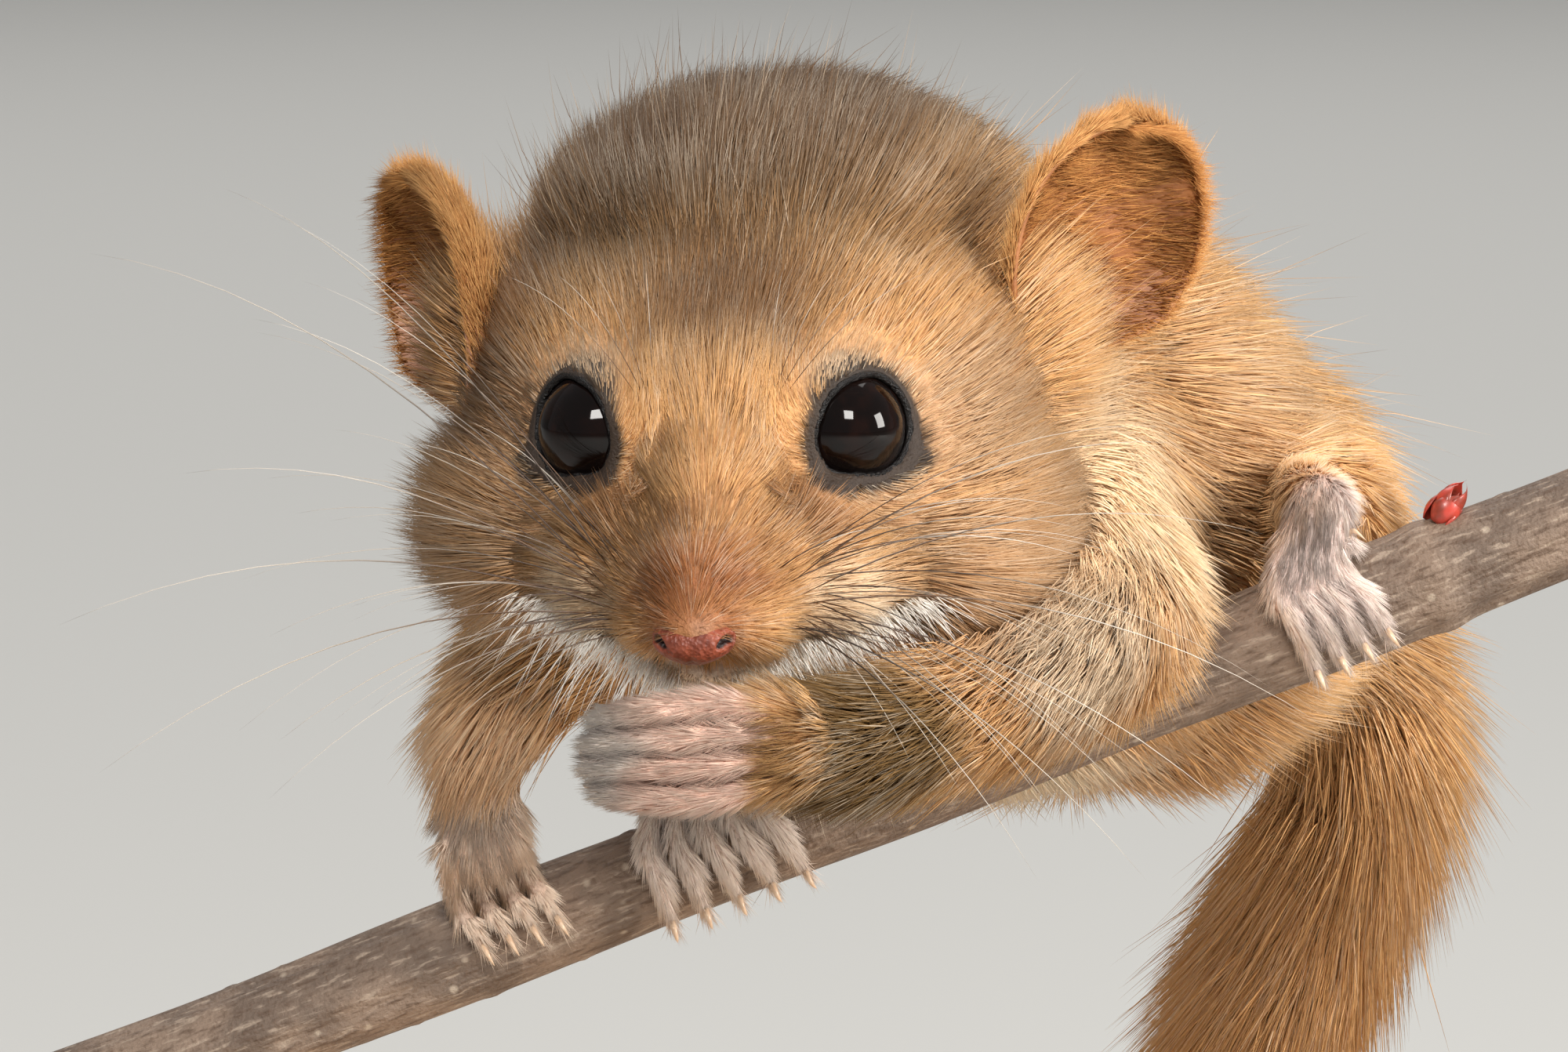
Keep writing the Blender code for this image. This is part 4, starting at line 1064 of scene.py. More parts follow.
flat = lie - root_normals * np.sum(lie * root_normals, axis=1)[:, None]
flat = unit(flat) + 0.14 * waves(roots, 5.0, 11) + 0.07 * waves(roots, 1.6, 12)
flat = unit(flat + 0.12 * rng.normal(size=(count, 3)))
flat = unit(flat - root_normals * np.sum(flat * root_normals, axis=1)[:, None])


def leaving(angle):
    return root_normals * np.sin(angle)[:, None] + flat * np.cos(angle)[:, None]


middle = roots + leaving(lift * 1.4) * (length * 0.32)[:, None]
tips = middle + leaving(lift * 0.8) * (length * 0.68)[:, None]
print("mean hair length", round(float(length.mean()), 2), "mm")

# %% [markdown]
# Hairs near each other lean together in small locks. A few hairs lead, and every other hair is drawn
# towards the nearest of them, as far as their skin faces the same way.

# %% Locks of hair
LEADERS = 0.07


def gathered(points, strength):
    """Points drawn towards the tip of the nearest leading hair."""
    leaders = np.nonzero(rng.random(count) < LEADERS)[0]
    tree = KDTree(len(leaders))
    for i, leader in enumerate(leaders):
        tree.insert(roots[leader], i)
    tree.balance()
    own = leaders[[tree.find(root)[1] for root in roots]]
    alike = np.clip(np.sum(root_normals * root_normals[own], axis=1) * 2.0 - 1.0, 0.0, 1.0)
    return points + (points[own] - points) * (strength * alike)[:, None]


tips = gathered(tips, clump)
middle = middle + (gathered(middle, clump * 0.4) - middle) * 0.5
print("about one hair in", round(1.0 / LEADERS), "leads a lock")

# %% [markdown]
# A tip that would end inside the skin, for instance where the cheek meets the neck, is lifted clear. The
# tone makes one hair darker than the next, and it paints shade into the grooves between the fingers, so
# that they are darker than the fingers' backs.

# %% Clear of the skin, each with a tone
ROOT_SUNK = 0.12
MIDDLE_CLEAR, TIP_CLEAR = 0.10, 0.16


def lifted(points, clear):
    """Points moved out along their hair's normal until they are clear of the skin."""
    sunk = clear - field_at(points)
    return points + root_normals * np.maximum(sunk, 0.0)[:, None]


def painted_groove_shade(points):
    """1 in the groove between two fingers, falling to 0 on the back of each."""
    gaps = np.sort([digit.distance(points) for digit in digits], axis=0)
    return 1.0 - soft_step(gaps[1] - gaps[0], 0.1, 0.45)


for _ in range(2):
    middle = lifted(middle, MIDDLE_CLEAR)
    tips = lifted(tips, TIP_CLEAR)
tones = np.clip(0.5 + 0.13 * waves(roots, 3.0, 5)[:, 0] + 0.22 * rng.normal(size=count), 0.0, 1.0)
paws = np.nonzero(zone == ZONES.index("paws"))[0]
# Painted shade: hairs in the grooves between the fingers are made darker.
tones[paws] += 0.2 + 0.2 * rng.normal(size=len(paws)) - 0.8 * painted_groove_shade(roots[paws])
tones = np.clip(tones, 0.0, 1.0)
roots_sunk = roots - root_normals * ROOT_SUNK
print(len(paws), "hairs on hands and feet")

# %% [markdown]
# Each zone is written as one piece, or as several where it holds many hairs. The texture map unwraps the
# trunk and head round their middles, and the legs and tail in the same way round the trunk's. Smaller
# pieces are easier to handle than one huge mesh.

# %% The coat's pieces
MOST_HAIRS = 32_000
BENT_ZONES = ("body", "limbs", "tail")
ZONE_HEARTS = dict.fromkeys(("face", "crown", "cheeks"), from_head(HEAD_HEART))
BODY_HEART = np.array((5.0, 2.0, 69.0))


def unwrapped(points, heart):
    """Longitude and latitude round a heart, each from 0 to 1."""
    away = unit(points - heart)
    across = np.arctan2(away[:, 0], -away[:, 1]) / (2 * math.pi) + 0.5
    return np.stack([across, np.arcsin(np.clip(away[:, 2], -1, 1)) / math.pi + 0.5], axis=1)


def spread(values):
    """Values stretched to fill 0 to 1."""
    reach = values.max(axis=0) - values.min(axis=0)
    return (values - values.min(axis=0)) / np.maximum(reach, 1e-6)


spines = np.stack([roots_sunk, middle, tips], axis=1)
colours = markings_at(roots)
for index, name in enumerate(ZONES):
    members = np.nonzero(zone == index)[0]
    places = unwrapped(roots[members], ZONE_HEARTS.get(name, BODY_HEART))
    pieces = math.ceil(len(members) / MOST_HAIRS)
    order = np.argsort(places[:, 0], kind="stable")
    for number, chosen in enumerate(np.array_split(order, pieces)):
        hairs = members[chosen]
        label = f"coat_{name}" if pieces == 1 else f"coat_{name}_{number + 1}"
        bent = name in BENT_ZONES
        shape = spines[hairs] if bent else spines[hairs][:, [0, 2]]
        hairs_piece(label, shape, radius[hairs, None], tones[hairs], spread(places[chosen]), pointed=bent,
                    colours=colours[hairs])
        print(label, len(hairs), "hairs")

# %% [markdown]
# Over the crown, the nape and the back a few longer guard hairs stand clear of the coat. Some are dark
# and some are pale, and against a plain ground they soften the outline.

# %% Guard hairs
GUARDS = 1600
GUARD_RADIUS = 0.013
over_back = np.isin(zone, [ZONES.index("crown"), ZONES.index("body")]) & (root_normals[:, 2] > -0.2)
behind_brow = to_head(roots)[:, 1] > 6.0
guards = rng.choice(np.nonzero(over_back & behind_brow)[0], GUARDS, replace=False)
guard_length = (length[guards] * rng.uniform(1.1, 1.7, GUARDS))[:, None]
guard_lift = np.radians(rng.uniform(18.0, 40.0, GUARDS))[:, None]
guard_lie, guard_normal = flat[guards], root_normals[guards]


def rising(angle):
    return guard_normal * np.sin(angle) + guard_lie * np.cos(angle)


bend = roots[guards] + rising(guard_lift) * guard_length * 0.5
ends = bend + rising(0.7 * guard_lift) * guard_length * 0.5
guard_spines = np.stack([roots_sunk[guards], bend, ends], axis=1)
guard_places = spread(unwrapped(roots[guards], BODY_HEART))
guard_tones = rng.choice([0.05, 0.2, 0.8], GUARDS)
hairs_piece("coat_guard", guard_spines, np.full((GUARDS, 1), GUARD_RADIUS), guard_tones, guard_places,
            colours=colours[guards])
print(GUARDS, "guard hairs")

# %% [markdown]
# The ears are thin cups with short soft fur on both sides, orange-gold over darker roots. To place and turn
# a hair, the ear's sheet is read anywhere between its points.

# %% The ears' fur and its finish
def ear_coat_finish(name, light, dark):
    material, nodes, shader = new_finish(name, 0.6, Specular_IOR_Level=0.25)
    along, tone = attribute(nodes, "along"), attribute(nodes, "tone")
    colour = nodes.mix(tone, dark, light)
    nodes.put(shader.inputs["Base Color"], nodes.mix(nodes.ramp(along, 0.0, 0.6), dark, colour))
    return material


def sheet_at(grid, v, u):
    """A grid of rows and columns read between its points, with v and u from 0 to 1."""
    row, column = v * (grid.shape[0] - 1.001), u * (grid.shape[1] - 1.001)
    j, i = row.astype(int), column.astype(int)
    s, t = (row - j)[:, None], (column - i)[:, None]
    here = grid[j, i] * (1 - s) + grid[j + 1, i] * s
    beside = grid[j, i + 1] * (1 - s) + grid[j + 1, i + 1] * s
    return here * (1 - t) + beside * t


EAR_OUTSIDE = ear_coat_finish("ear outside", paint(226, 176, 112), paint(166, 108, 56))
EAR_INSIDE = ear_coat_finish("ear inside", paint(230, 168, 98), paint(150, 92, 42))
print("finishes:", EAR_OUTSIDE.name, "and", EAR_INSIDE.name)

# %% [markdown]
# Outside, the hairs point to the rim, and inside they lie from the front edge across the cup. Only low in
# the cup does pale bare skin show.

# %% Fur on the ears
EAR_HAIR_RADIUS = 0.022
HAIRS_OUTSIDE, HAIRS_INSIDE = 12_000, 14_000


def ear_hairs(name, side, inside, amount, hair_length, hair_lift, material):
    sheet = ear_sheets[side]
    upward, sideways = unit(np.gradient(sheet, axis=0)), unit(np.gradient(sheet, axis=1))
    facing = unit(np.cross(sideways, upward))
    middle_of_cup = sheet.reshape(-1, 3).mean(axis=0)
    into_cup = 1.0 if np.sum((middle_of_cup - sheet) * facing) > 0 else -1.0
    v, u = rng.random(amount) ** 0.8, rng.random(amount)
    low_in_cup = (0.5 - np.abs(u - 0.5)) * 1.5 * np.clip((0.42 - v) / 0.2, 0.0, 1.0)
    kept = rng.random(amount) > low_in_cup * (1.0 if inside else 0.0)
    v, u = v[kept], u[kept]
    out = unit(sheet_at(facing, v, u)) * (into_cup if inside else -into_cup)
    up, along_rim = unit(sheet_at(upward, v, u)), unit(sheet_at(sideways, v, u))
    if inside:
        flat_lie = along_rim + up * (0.35 - 0.5 * u)[:, None]
    else:
        flat_lie = up + along_rim * ((u - 0.5) * 1.2)[:, None]
    on_sheet = sheet_at(sheet, v, u)
    flat_lie = unit(unit(flat_lie) + 0.16 * rng.normal(size=up.shape) + 0.12 * waves(on_sheet, 2.0, 8))
    start = on_sheet + out * EAR_THICK * 0.3
    lift_here = np.radians(hair_lift * rng.normal(1.0, 0.3, len(v)).clip(0.3, 2.0))[:, None]
    near_rim = 1.0 - 0.45 * np.maximum(soft_step(v, 0.85, 1.0), soft_step(np.abs(u - 0.5), 0.42, 0.5))
    size_here = (hair_length * near_rim * rng.normal(1.0, 0.2, len(v)).clip(0.5, 1.6))[:, None]
    end = start + (flat_lie * np.cos(lift_here) + out * np.sin(lift_here)) * size_here
    shape = np.stack([start, end], axis=1)
    tone = np.clip(0.5 + 0.25 * rng.normal(size=len(v)), 0.0, 1.0)
    radii = np.full((len(v), 1), EAR_HAIR_RADIUS)
    hairs_piece(name, shape, radii, tone, np.stack([u, v], axis=1), material, pointed=False)
    print(name, len(v), "hairs")


for side, name in zip(SIDES, ("left", "right")):
    ear_hairs(f"coat_ear_{name}_outside", side, False, HAIRS_OUTSIDE, 1.3, 9, EAR_OUTSIDE)
    ear_hairs(f"coat_ear_{name}_inside", side, True, HAIRS_INSIDE, 1.25, 10, EAR_INSIDE)

# %% [markdown]
# Eyes, nose, claws and twig all start from two simple forms: a ball of rings, and a tube of rows whose
# points are joined by four-sided faces. Blender can add both by itself, but as points they can be pushed
# in and out before they become a mesh.

# %% Balls and tubes
def round_form(rings, sides):
    """Points and faces of a unit sphere with its pole on z."""
    polar = np.linspace(0.0, math.pi, rings + 1)[1:-1, None]
    turn = np.linspace(0.0, 2 * math.pi, sides, endpoint=False)[None]
    body = [np.sin(polar) * np.cos(turn), np.sin(polar) * np.sin(turn), np.cos(polar) + 0 * turn]
    body = np.stack(body, axis=-1)
    points = np.concatenate([[[0, 0, 1.0]], body.reshape(-1, 3), [[0, 0, -1.0]]])
    faces = []
    for i in range(sides):
        j = (i + 1) % sides
        faces.append((0, 1 + i, 1 + j))
        for row in range(rings - 2):
            a = 1 + row * sides
            faces.append((a + i, a + sides + i, a + sides + j, a + j))
        bottom = 1 + (rings - 2) * sides
        faces.append((bottom + i, len(points) - 1, bottom + j))
    return points, faces


def tube_faces(rows, sides, closed):
    faces = []
    for j in range(rows if closed else rows - 1):
        for i in range(sides):
            a, b = j * sides, (j + 1) % rows * sides
            faces.append((a + i, a + (i + 1) % sides, b + (i + 1) % sides, b + i))
    return faces


print("a ball of 12 rings by 16 has", len(round_form(12, 16)[1]), "faces")

# %% [markdown]
# A dormouse's eyes are large, black and bulging. The ball is a fine sphere with a slightly raised cornea,
# turned to look along its own axis. The rim of wet black skin is a small tube that follows the lids all
# the way round, a little uneven. A plain glossy ball would do from far off, but close by it is the bulge
# and the rim that make an eye look alive.

# %% Two eyes in their rims
def blotchy_finish(name, roughness, scale, span, colours, relief=None, **sockets):
    """Two tones in soft blotches. The relief, where there is one, is the scale and height of its bumps."""
    material, nodes, shader = new_finish(name, roughness, **sockets)
    place = object_place(nodes)
    blotches = nodes.ramp(nodes.noise(place, scale), *span)
    nodes.put(shader.inputs["Base Color"], nodes.mix(blotches, *colours))
    if relief:
        add_bump(nodes, shader, nodes.noise(place, relief[0]), relief[1])
    return material


EYE = blotchy_finish("eye", 0.05, 1.2, (0.4, 0.8, 0.0, 0.6), (paint(12, 7, 6), paint(34, 16, 10)), IOR=1.33)
EYE_RIM = blotchy_finish("eye rim", 0.26, 8.0, (0.35, 0.7), (paint(7, 6, 6), paint(22, 16, 15)), (11.0, 0.12),
                         Specular_IOR_Level=0.35)
CORNEA = 0.2
RIM_RADIUS = 0.1
RIM_HEIGHT = 0.15
RIM_STEPS, RIM_SIDES = 120, 10
BALL_RINGS, BALL_SIDES = 48, 64

for side, name in zip(SIDES, ("left", "right")):
    centre, out, corner, other = eye_facts(side)
    points, faces = round_form(BALL_RINGS, BALL_SIDES)
    bulge = 1.0 + CORNEA / EYE_RADIUS * np.clip((points[:, 2] - 0.55) / 0.45, 0.0, 1.0) ** 2
    points = points * (EYE_RADIUS * bulge)[:, None]
    points = centre + points @ np.stack([corner, other, out])
    ball = new_piece(f"eyeball_{name}", mesh_from(f"eyeball_{name}", points, faces), EYE)
    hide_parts(f"eye_{name}")

    turn = np.linspace(0.0, 2 * math.pi, RIM_STEPS, endpoint=False)
    angle = lid_angle(turn * side) + 0.02
    around = corner * np.cos(turn)[:, None] + other * np.sin(turn)[:, None]
    ray = out * np.cos(angle)[:, None] + around * np.sin(angle)[:, None]
    slope = around * np.cos(angle)[:, None] - out * np.sin(angle)[:, None]
    uneven = 1.0 + 0.16 * np.sin(11 * turn + side) + 0.1 * np.sin(23 * turn)
    rim = []
    for i in range(RIM_SIDES):
        tilt = 2 * math.pi * i / RIM_SIDES
        wide = RIM_RADIUS * uneven * (1.2 * math.cos(tilt) + 0.7)
        high = RIM_HEIGHT * (0.93 + math.sin(tilt))
        rim.append(centre + ray * (EYE_RADIUS + high) + slope * wide[:, None])
    rim = np.stack(rim, axis=1).reshape(-1, 3)
    rim_mesh = mesh_from(f"eye_rim_{name}", rim, tube_faces(RIM_STEPS, RIM_SIDES, True))
    new_piece(f"eye_rim_{name}", rim_mesh, EYE_RIM)
print("eyes", 2 * EYE_RADIUS, "mm across")

# %% [markdown]
# The nose is a small bare pad, pink-brown and finely pebbled, with a comma-shaped nostril on each side.
# It is a ball whose points are pushed in along the nostrils and the cleft between them. Nostrils that
# were only painted on would have no shadow, but the shallow dents of the nostrils are also painted near
# black as painted shade.

# %% The nose
def nose_finish():
    material, nodes, shader = new_finish("nose", 0.46, Specular_IOR_Level=0.4)
    place = object_place(nodes)
    blotch = nodes.noise(place, 1.6)
    colour = nodes.mix(nodes.ramp(blotch, 0.35, 0.7), paint(146, 74, 52), paint(104, 46, 30))
    hollow = attribute(nodes, "hollow")
    # Painted shade: the nostrils' dents darkened almost to black.
    colour = nodes.mix(nodes.ramp(hollow, 0.15, 0.6), colour, paint(30, 12, 9))
    cells = nodes.add("ShaderNodeTexVoronoi", {"Vector": place, "Scale": 7.0}).outputs["Distance"]
    nodes.put(shader.inputs["Base Color"], colour)
    add_bump(nodes, shader, cells, 0.05)
    return material


def nose_pad():
    points, faces = round_form(70, 96)
    pushed = np.zeros(len(points))
    for side in SIDES:
        for t in np.linspace(0.0, 1.0, 7):
            comma = (side * (0.70 + 0.34 * t), -0.66 + 0.44 * t, -0.04 + 0.26 * math.sin(2.8 * t))
            pushed += np.exp(-np.sum((points - unit(np.array(comma))) ** 2, axis=1) / 0.024)
    size = 1.0 - 0.12 * np.minimum(pushed, 2.0)
    across, back, up = points.T
    cleft = np.exp(-(across / 0.09) ** 2) * np.clip(-back, 0, 1) * np.clip(0.3 - up, 0, 1)
    size -= 0.16 * cleft
    shaped = points * size[:, None] * np.array((1.5, 0.95, 0.8))
    shaped[:, 2] += 0.12 * np.abs(shaped[:, 0])
    mesh = mesh_from("nose", from_head(shaped + np.array((0.0, -7.8, -5.4))), faces)
    keep_values(mesh, "hollow", np.clip(pushed / 1.6, 0.0, 1.0))
    return mesh


nose = new_piece("nose", nose_pad(), nose_finish())
print("nose", [round(v / MM, 1) for v in nose.dimensions])

# %% [markdown]
# Claws are short curved cones at the ends of the fingers and toes, amber and a little see-through in
# life. Each is a tube of a few rings that narrows to its point, and they are left opaque, because under a
# millimetre long nobody can tell.

# %% The claws
CLAW_LENGTH = 0.95
CLAW_RADIUS = 0.17
CLAW_ARCH = 0.35


def claw_finish():
    material, nodes, shader = new_finish("claw", 0.3, Coat_Weight=0.3)
    streaks = nodes.noise(object_place(nodes), 4.0)
    nodes.put(shader.inputs["Base Color"], nodes.mix(streaks, paint(190, 146, 112), paint(238, 216, 188)))
    return material


def claws():
    points, faces = [], []
    sides, rows = 8, 7
    for digit in digits:
        end, before = digit.path[-1, :3], digit.path[-4, :3]
        ahead = unit(end - before)
        away = end - np.array(TWIG_MIDDLE)
        out = unit(away - (away @ np.array(TWIG_ALONG)) * np.array(TWIG_ALONG))
        if end[1] < -20.0:
            out = np.array((0.0, -1.0, 0.0))
        out = unit(out - ahead * (out @ ahead))
        across = np.cross(ahead, out)
        base = end + out * 0.12 + ahead * (digit.path[-1, 3] * 0.3)
        first = len(points)
        for j in range(rows):
            t = j / (rows - 1)
            centre = base + ahead * CLAW_LENGTH * t + out * CLAW_ARCH * math.sin(math.pi * t) * CLAW_LENGTH
            wide = CLAW_RADIUS * (1.0 - t) ** 0.7 + 0.012
            for i in range(sides):
                turn = 2 * math.pi * i / sides
                points.append(centre + across * math.cos(turn) * wide * 0.8 + out * math.sin(turn) * wide)
        faces += [tuple(first + k for k in face) for face in tube_faces(rows, sides, False)]
        faces.append(tuple(first + i for i in range(sides))[::-1])
        faces.append(tuple(first + (rows - 1) * sides + i for i in range(sides)))
    return mesh_from("claws", points, faces)


new_piece("claws", claws(), claw_finish())
print(len(digits), "claws")

# %% [markdown]
# A long hair is a path with one easy bow, and a ring of points at each station between its ends. It gets
# thinner towards its tip.

# %% Long hairs
def whisker_finish(name, root_colours, tip_colour, change):
    material, nodes, shader = new_finish(name, 0.35, Specular_IOR_Level=0.6)
    along, tone = attribute(nodes, "along"), attribute(nodes, "tone")
    root = nodes.mix(tone, *root_colours)
    nodes.put(shader.inputs["Base Color"], nodes.mix(nodes.ramp(along, *change), root, tip_colour))
    return material


def bowed(root, tip, bow, stations):
    """A path from root to tip that bows to the front and up on its way."""
    t = np.linspace(0.0, 1.0, stations)[:, None]
    reach = np.linalg.norm(tip - root)
    rise = np.array((0.0, -bow, 0.18 * reach)) * 0.6
    return root + (tip - root) * t + rise * 4 * t * (1 - t)


def long_hairs(name, paths, radii, material):
    paths = np.array(paths)
    taper = (1.0 - np.linspace(0.0, 1.0, paths.shape[1])[1:-1]) ** 0.8 + 0.1
    hairs_piece(name, paths, np.array(radii)[:, None] * taper[None], rng.random(len(paths)),
                spread(paths[:, 0, [0, 2]]), material)
    print(name, len(paths))


BROWN_ROOTS = (paint(44, 28, 20), paint(100, 72, 50))
WHISKERS = whisker_finish("whisker", BROWN_ROOTS, paint(214, 204, 190), (0.25, 0.7))
print("finish:", WHISKERS.name)

# %% [markdown]
# The whiskers are the longest hairs of all. They fan from rows on the whisker pads, dark at the root and
# pale towards the tip. A few shorter ones stand over each eye. Where each long one ends is listed, because
# whiskers are few enough to be seen one by one.

# %% The whiskers
WHISKER_TIPS = {
    1: (((12.0, -22.5, 74.2), 1.0), ((15.4, -19.0, 70.4), 2.5), ((17.9, -19.0, 63.2), 3.0),
        ((15.3, -22.6, 59.8), 2.5), ((10.9, -26.4, 59.0), 1.9), ((6.8, -31.0, 60.0), 1.4)),
    -1: (((-22.7, -13.3, 82.5), 2.5), ((-27.4, -15.6, 80.3), 2.0), ((-23.8, -18.8, 72.6), 1.5),
         ((-28.0, -22.5, 67.6), 1.0), ((-26.6, -23.2, 62.3), 0.6), ((-20.0, -24.2, 63.7), 0.4),
         ((-20.3, -25.4, 61.8), 0.4)),
}
WHISKER_RADIUS = 0.038
STATIONS = 12

paths, thick = [], []
for side in SIDES:
    tips_here = WHISKER_TIPS[side]
    for i, (tip, bow) in enumerate(tips_here):
        share = i / (len(tips_here) - 1)
        root = head_skin((0.36 * side, -1.0 + 0.12 * (i % 2), -0.22 - 0.17 * share))
        paths.append(bowed(root, np.array(tip), bow, STATIONS))
        thick.append(WHISKER_RADIUS)
        for _ in range(4):
            outward = side * rng.uniform(0.28, 0.56)
            start = head_skin((outward, -1.0, -0.16 - 0.28 * share + rng.uniform(-0.05, 0.05)))
            aim = np.array(tip) + rng.normal(0.0, 0.9, 3)
            end = start + (aim - start) * rng.uniform(0.3, 0.9)
            paths.append(bowed(start, end, bow * 0.7, STATIONS))
            thick.append(WHISKER_RADIUS * rng.uniform(0.5, 0.85))
    for lean in (-0.4, 0.0, 0.3, 0.7):
        start = head_skin((side * (0.34 + 0.1 * lean), -0.62, 0.62))
        reach = np.array((side * (0.5 + lean), 0.6, 0.9)) @ HEAD_AXES.T * 4.2
        paths.append(bowed(start, start + reach, 0.5, STATIONS))
        thick.append(WHISKER_RADIUS * 0.45)
long_hairs("whiskers", paths, thick, WHISKERS)

# %% [markdown]
# Along the lower edge of the lips and cheeks hangs a fringe of long soft white hairs, which curve down
# over the raised arm. Where they hang and how long they are is drawn at random, within narrow limits.

# %% The fringe of the lips
LIP_FRINGE = 520
LONG_LIP_HAIRS = 80
FRINGE_STATIONS = 5


def fringe(amount, shortest, longest):
    """Hairs that hang from the lips' lower edge, for both sides."""
    made = []
    for side in SIDES:
        for share in rng.random(amount):
            low_edge = -5.2 + 1.6 * share * share - rng.random()
            start = head_skin((side * (1.0 + 7.0 * share), -9.4 + 5.6 * share, low_edge))
            heading = np.array((side * (0.25 + 0.5 * share), -0.25 + 0.4 * share, -0.8))
            heading = heading + rng.normal(0.0, 0.16, 3)
            reach = unit(heading) @ HEAD_AXES.T * rng.uniform(shortest, longest)
            made.append(bowed(start, start + reach, 0.9, FRINGE_STATIONS))
    return made


PALE_ROOTS = (paint(236, 226, 212), paint(250, 244, 234))
LIP_HAIRS = whisker_finish("lip hair", PALE_ROOTS, paint(255, 252, 246), (0.2, 0.6))
paths = fringe(LIP_FRINGE, 0.9, 2.2) + fringe(LONG_LIP_HAIRS, 2.4, 5.0)
long_hairs("lip_fringe", paths, rng.uniform(0.02, 0.03, len(paths)), LIP_HAIRS)

# %% [markdown]
# The perch is a young shoot. Its bark is nearly smooth, grey-brown, drawn out in fine fibres along its
# length, and the two cut ends show pale wood with rings, a darker pith and a green edge. A photograph of
# bark would bring its own light and shade, so the colours come from noise, stretched along the twig for
# the fibres.

# %% Bark and cut wood
def bark_finish():
    material, nodes, shader = new_finish("bark", 0.62, Specular_IOR_Level=0.35)
    place = object_place(nodes)
    spin = TWIG_ALONG.to_track_quat("Z", "Y").to_euler()
    lengthwise = nodes.add("ShaderNodeMapping", {"Vector": place, "Rotation": spin, "Scale": (1.0, 1.0, 5.0)},
                           vector_type="TEXTURE").outputs["Vector"]
    fibres = nodes.noise(lengthwise, 5.0, 7.0)
    patches = nodes.noise(place, 0.3, 4.0)
    colour = nodes.mix(nodes.ramp(patches, 0.38, 0.62), paint(108, 92, 80), paint(136, 116, 100))
    colour = nodes.mix(nodes.ramp(fibres, 0.52, 0.7, 0.0, 0.75), colour, paint(86, 66, 52))
    colour = nodes.mix(nodes.ramp(fibres, 0.32, 0.46, 0.6, 0.0), colour, paint(176, 158, 140))
    grains = nodes.noise(place, 4.5, 5.0)
    colour = nodes.mix(nodes.ramp(grains, 0.58, 0.68, 0.0, 0.5), colour, paint(100, 78, 62))
    specks = nodes.add("ShaderNodeTexVoronoi", {"Vector": place, "Scale": 0.7}).outputs["Distance"]
    colour = nodes.mix(nodes.ramp(specks, 0.06, 0.16, 0.5, 0.0), colour, paint(204, 188, 168))
    nodes.put(shader.inputs["Base Color"], colour)
    add_bump(nodes, shader, nodes.math("ADD", fibres, grains), 0.12)
    return material


def cut_wood_finish():
    material, nodes, shader = new_finish("cut wood", 0.7)
    place = nodes.vector("SUBTRACT", object_place(nodes), TWIG_MIDDLE)
    sideways = nodes.vector("CROSS_PRODUCT", place, TWIG_ALONG)
    from_pith = nodes.vector("LENGTH", sideways)
    rings = nodes.math("SINE", nodes.math("MULTIPLY", from_pith, 9.0))
    colour = nodes.mix(nodes.ramp(rings, -0.6, 0.8), paint(222, 200, 156), paint(198, 168, 120))
    colour = nodes.mix(nodes.ramp(from_pith, 0.3, 0.42, 1.0, 0.0), colour, paint(150, 112, 74))
    colour = nodes.mix(nodes.ramp(from_pith, 1.62, 1.76), colour, paint(116, 132, 70))
    nodes.put(shader.inputs["Base Color"], colour)
    add_bump(nodes, shader, rings, 0.04)
    return material


BARK = bark_finish()
CUT_WOOD = cut_wood_finish()
print("finishes:", BARK.name, "and", CUT_WOOD.name)

# %% [markdown]
# The twig is a tube of rows of points. The relief is in the mesh: each point moves in or out by a few
# long waves, small raised lenticels, a swelling under the bud and a rounding at the cut ends.

# %% The twig
TWIG_ROWS, TWIG_SIDES = 300, 56
BARK_WAVES, WAVE_HEIGHT = 26, 0.012
LENTICELS, LENTICEL_HEIGHT = 46, 0.09
SWELLING = 0.16
BUD_ALONG = 25.4


def twig_mesh():
    along = np.linspace(-TWIG_HALF, TWIG_HALF, TWIG_ROWS)[:, None]
    turn = np.linspace(0.0, 2 * math.pi, TWIG_SIDES, endpoint=False)[None]
    radius_here = TWIG_RADIUS * (1.0 + 0.03 * np.sin(0.35 * along + 0.6)) - 0.03 + 0 * turn
    draw = np.random.default_rng(3)
    for _ in range(BARK_WAVES):
        phase = draw.integers(3, 15) * turn + draw.uniform(-0.16, 0.16) * along + draw.uniform(0, 6.3)
        radius_here += WAVE_HEIGHT * np.sin(phase)
    for _ in range(LENTICELS):
        at, angle = draw.uniform(-TWIG_HALF, TWIG_HALF), draw.uniform(0, 2 * math.pi)
        off = (turn - angle + math.pi) % (2 * math.pi) - math.pi
        spot = np.exp(-((along - at) / 0.34) ** 2 - (off * TWIG_RADIUS / 0.17) ** 2)
        radius_here += LENTICEL_HEIGHT * spot
    radius_here += SWELLING * np.exp(-((along - BUD_ALONG + 0.9) / 0.7) ** 2)
    ends = np.clip((TWIG_HALF - np.abs(along)) / 0.12, 0.0, 1.0)
    radius_here -= 0.10 * (1.0 - ends) ** 2
    top, front, axis = (np.array(v) for v in (TWIG_TOP, TWIG_FRONT, TWIG_ALONG))
    outward = top * np.cos(turn)[..., None] + front * np.sin(turn)[..., None]
    points = np.array(TWIG_MIDDLE) + axis * along[..., None] + outward * radius_here[..., None]
    points = points.reshape(-1, 3)
    faces = tube_faces(TWIG_ROWS, TWIG_SIDES, False)
    first_end = tuple(range(TWIG_SIDES))[::-1]
    last_end = tuple(len(points) - TWIG_SIDES + i for i in range(TWIG_SIDES))
    return mesh_from("twig", points, [*faces, first_end, last_end])


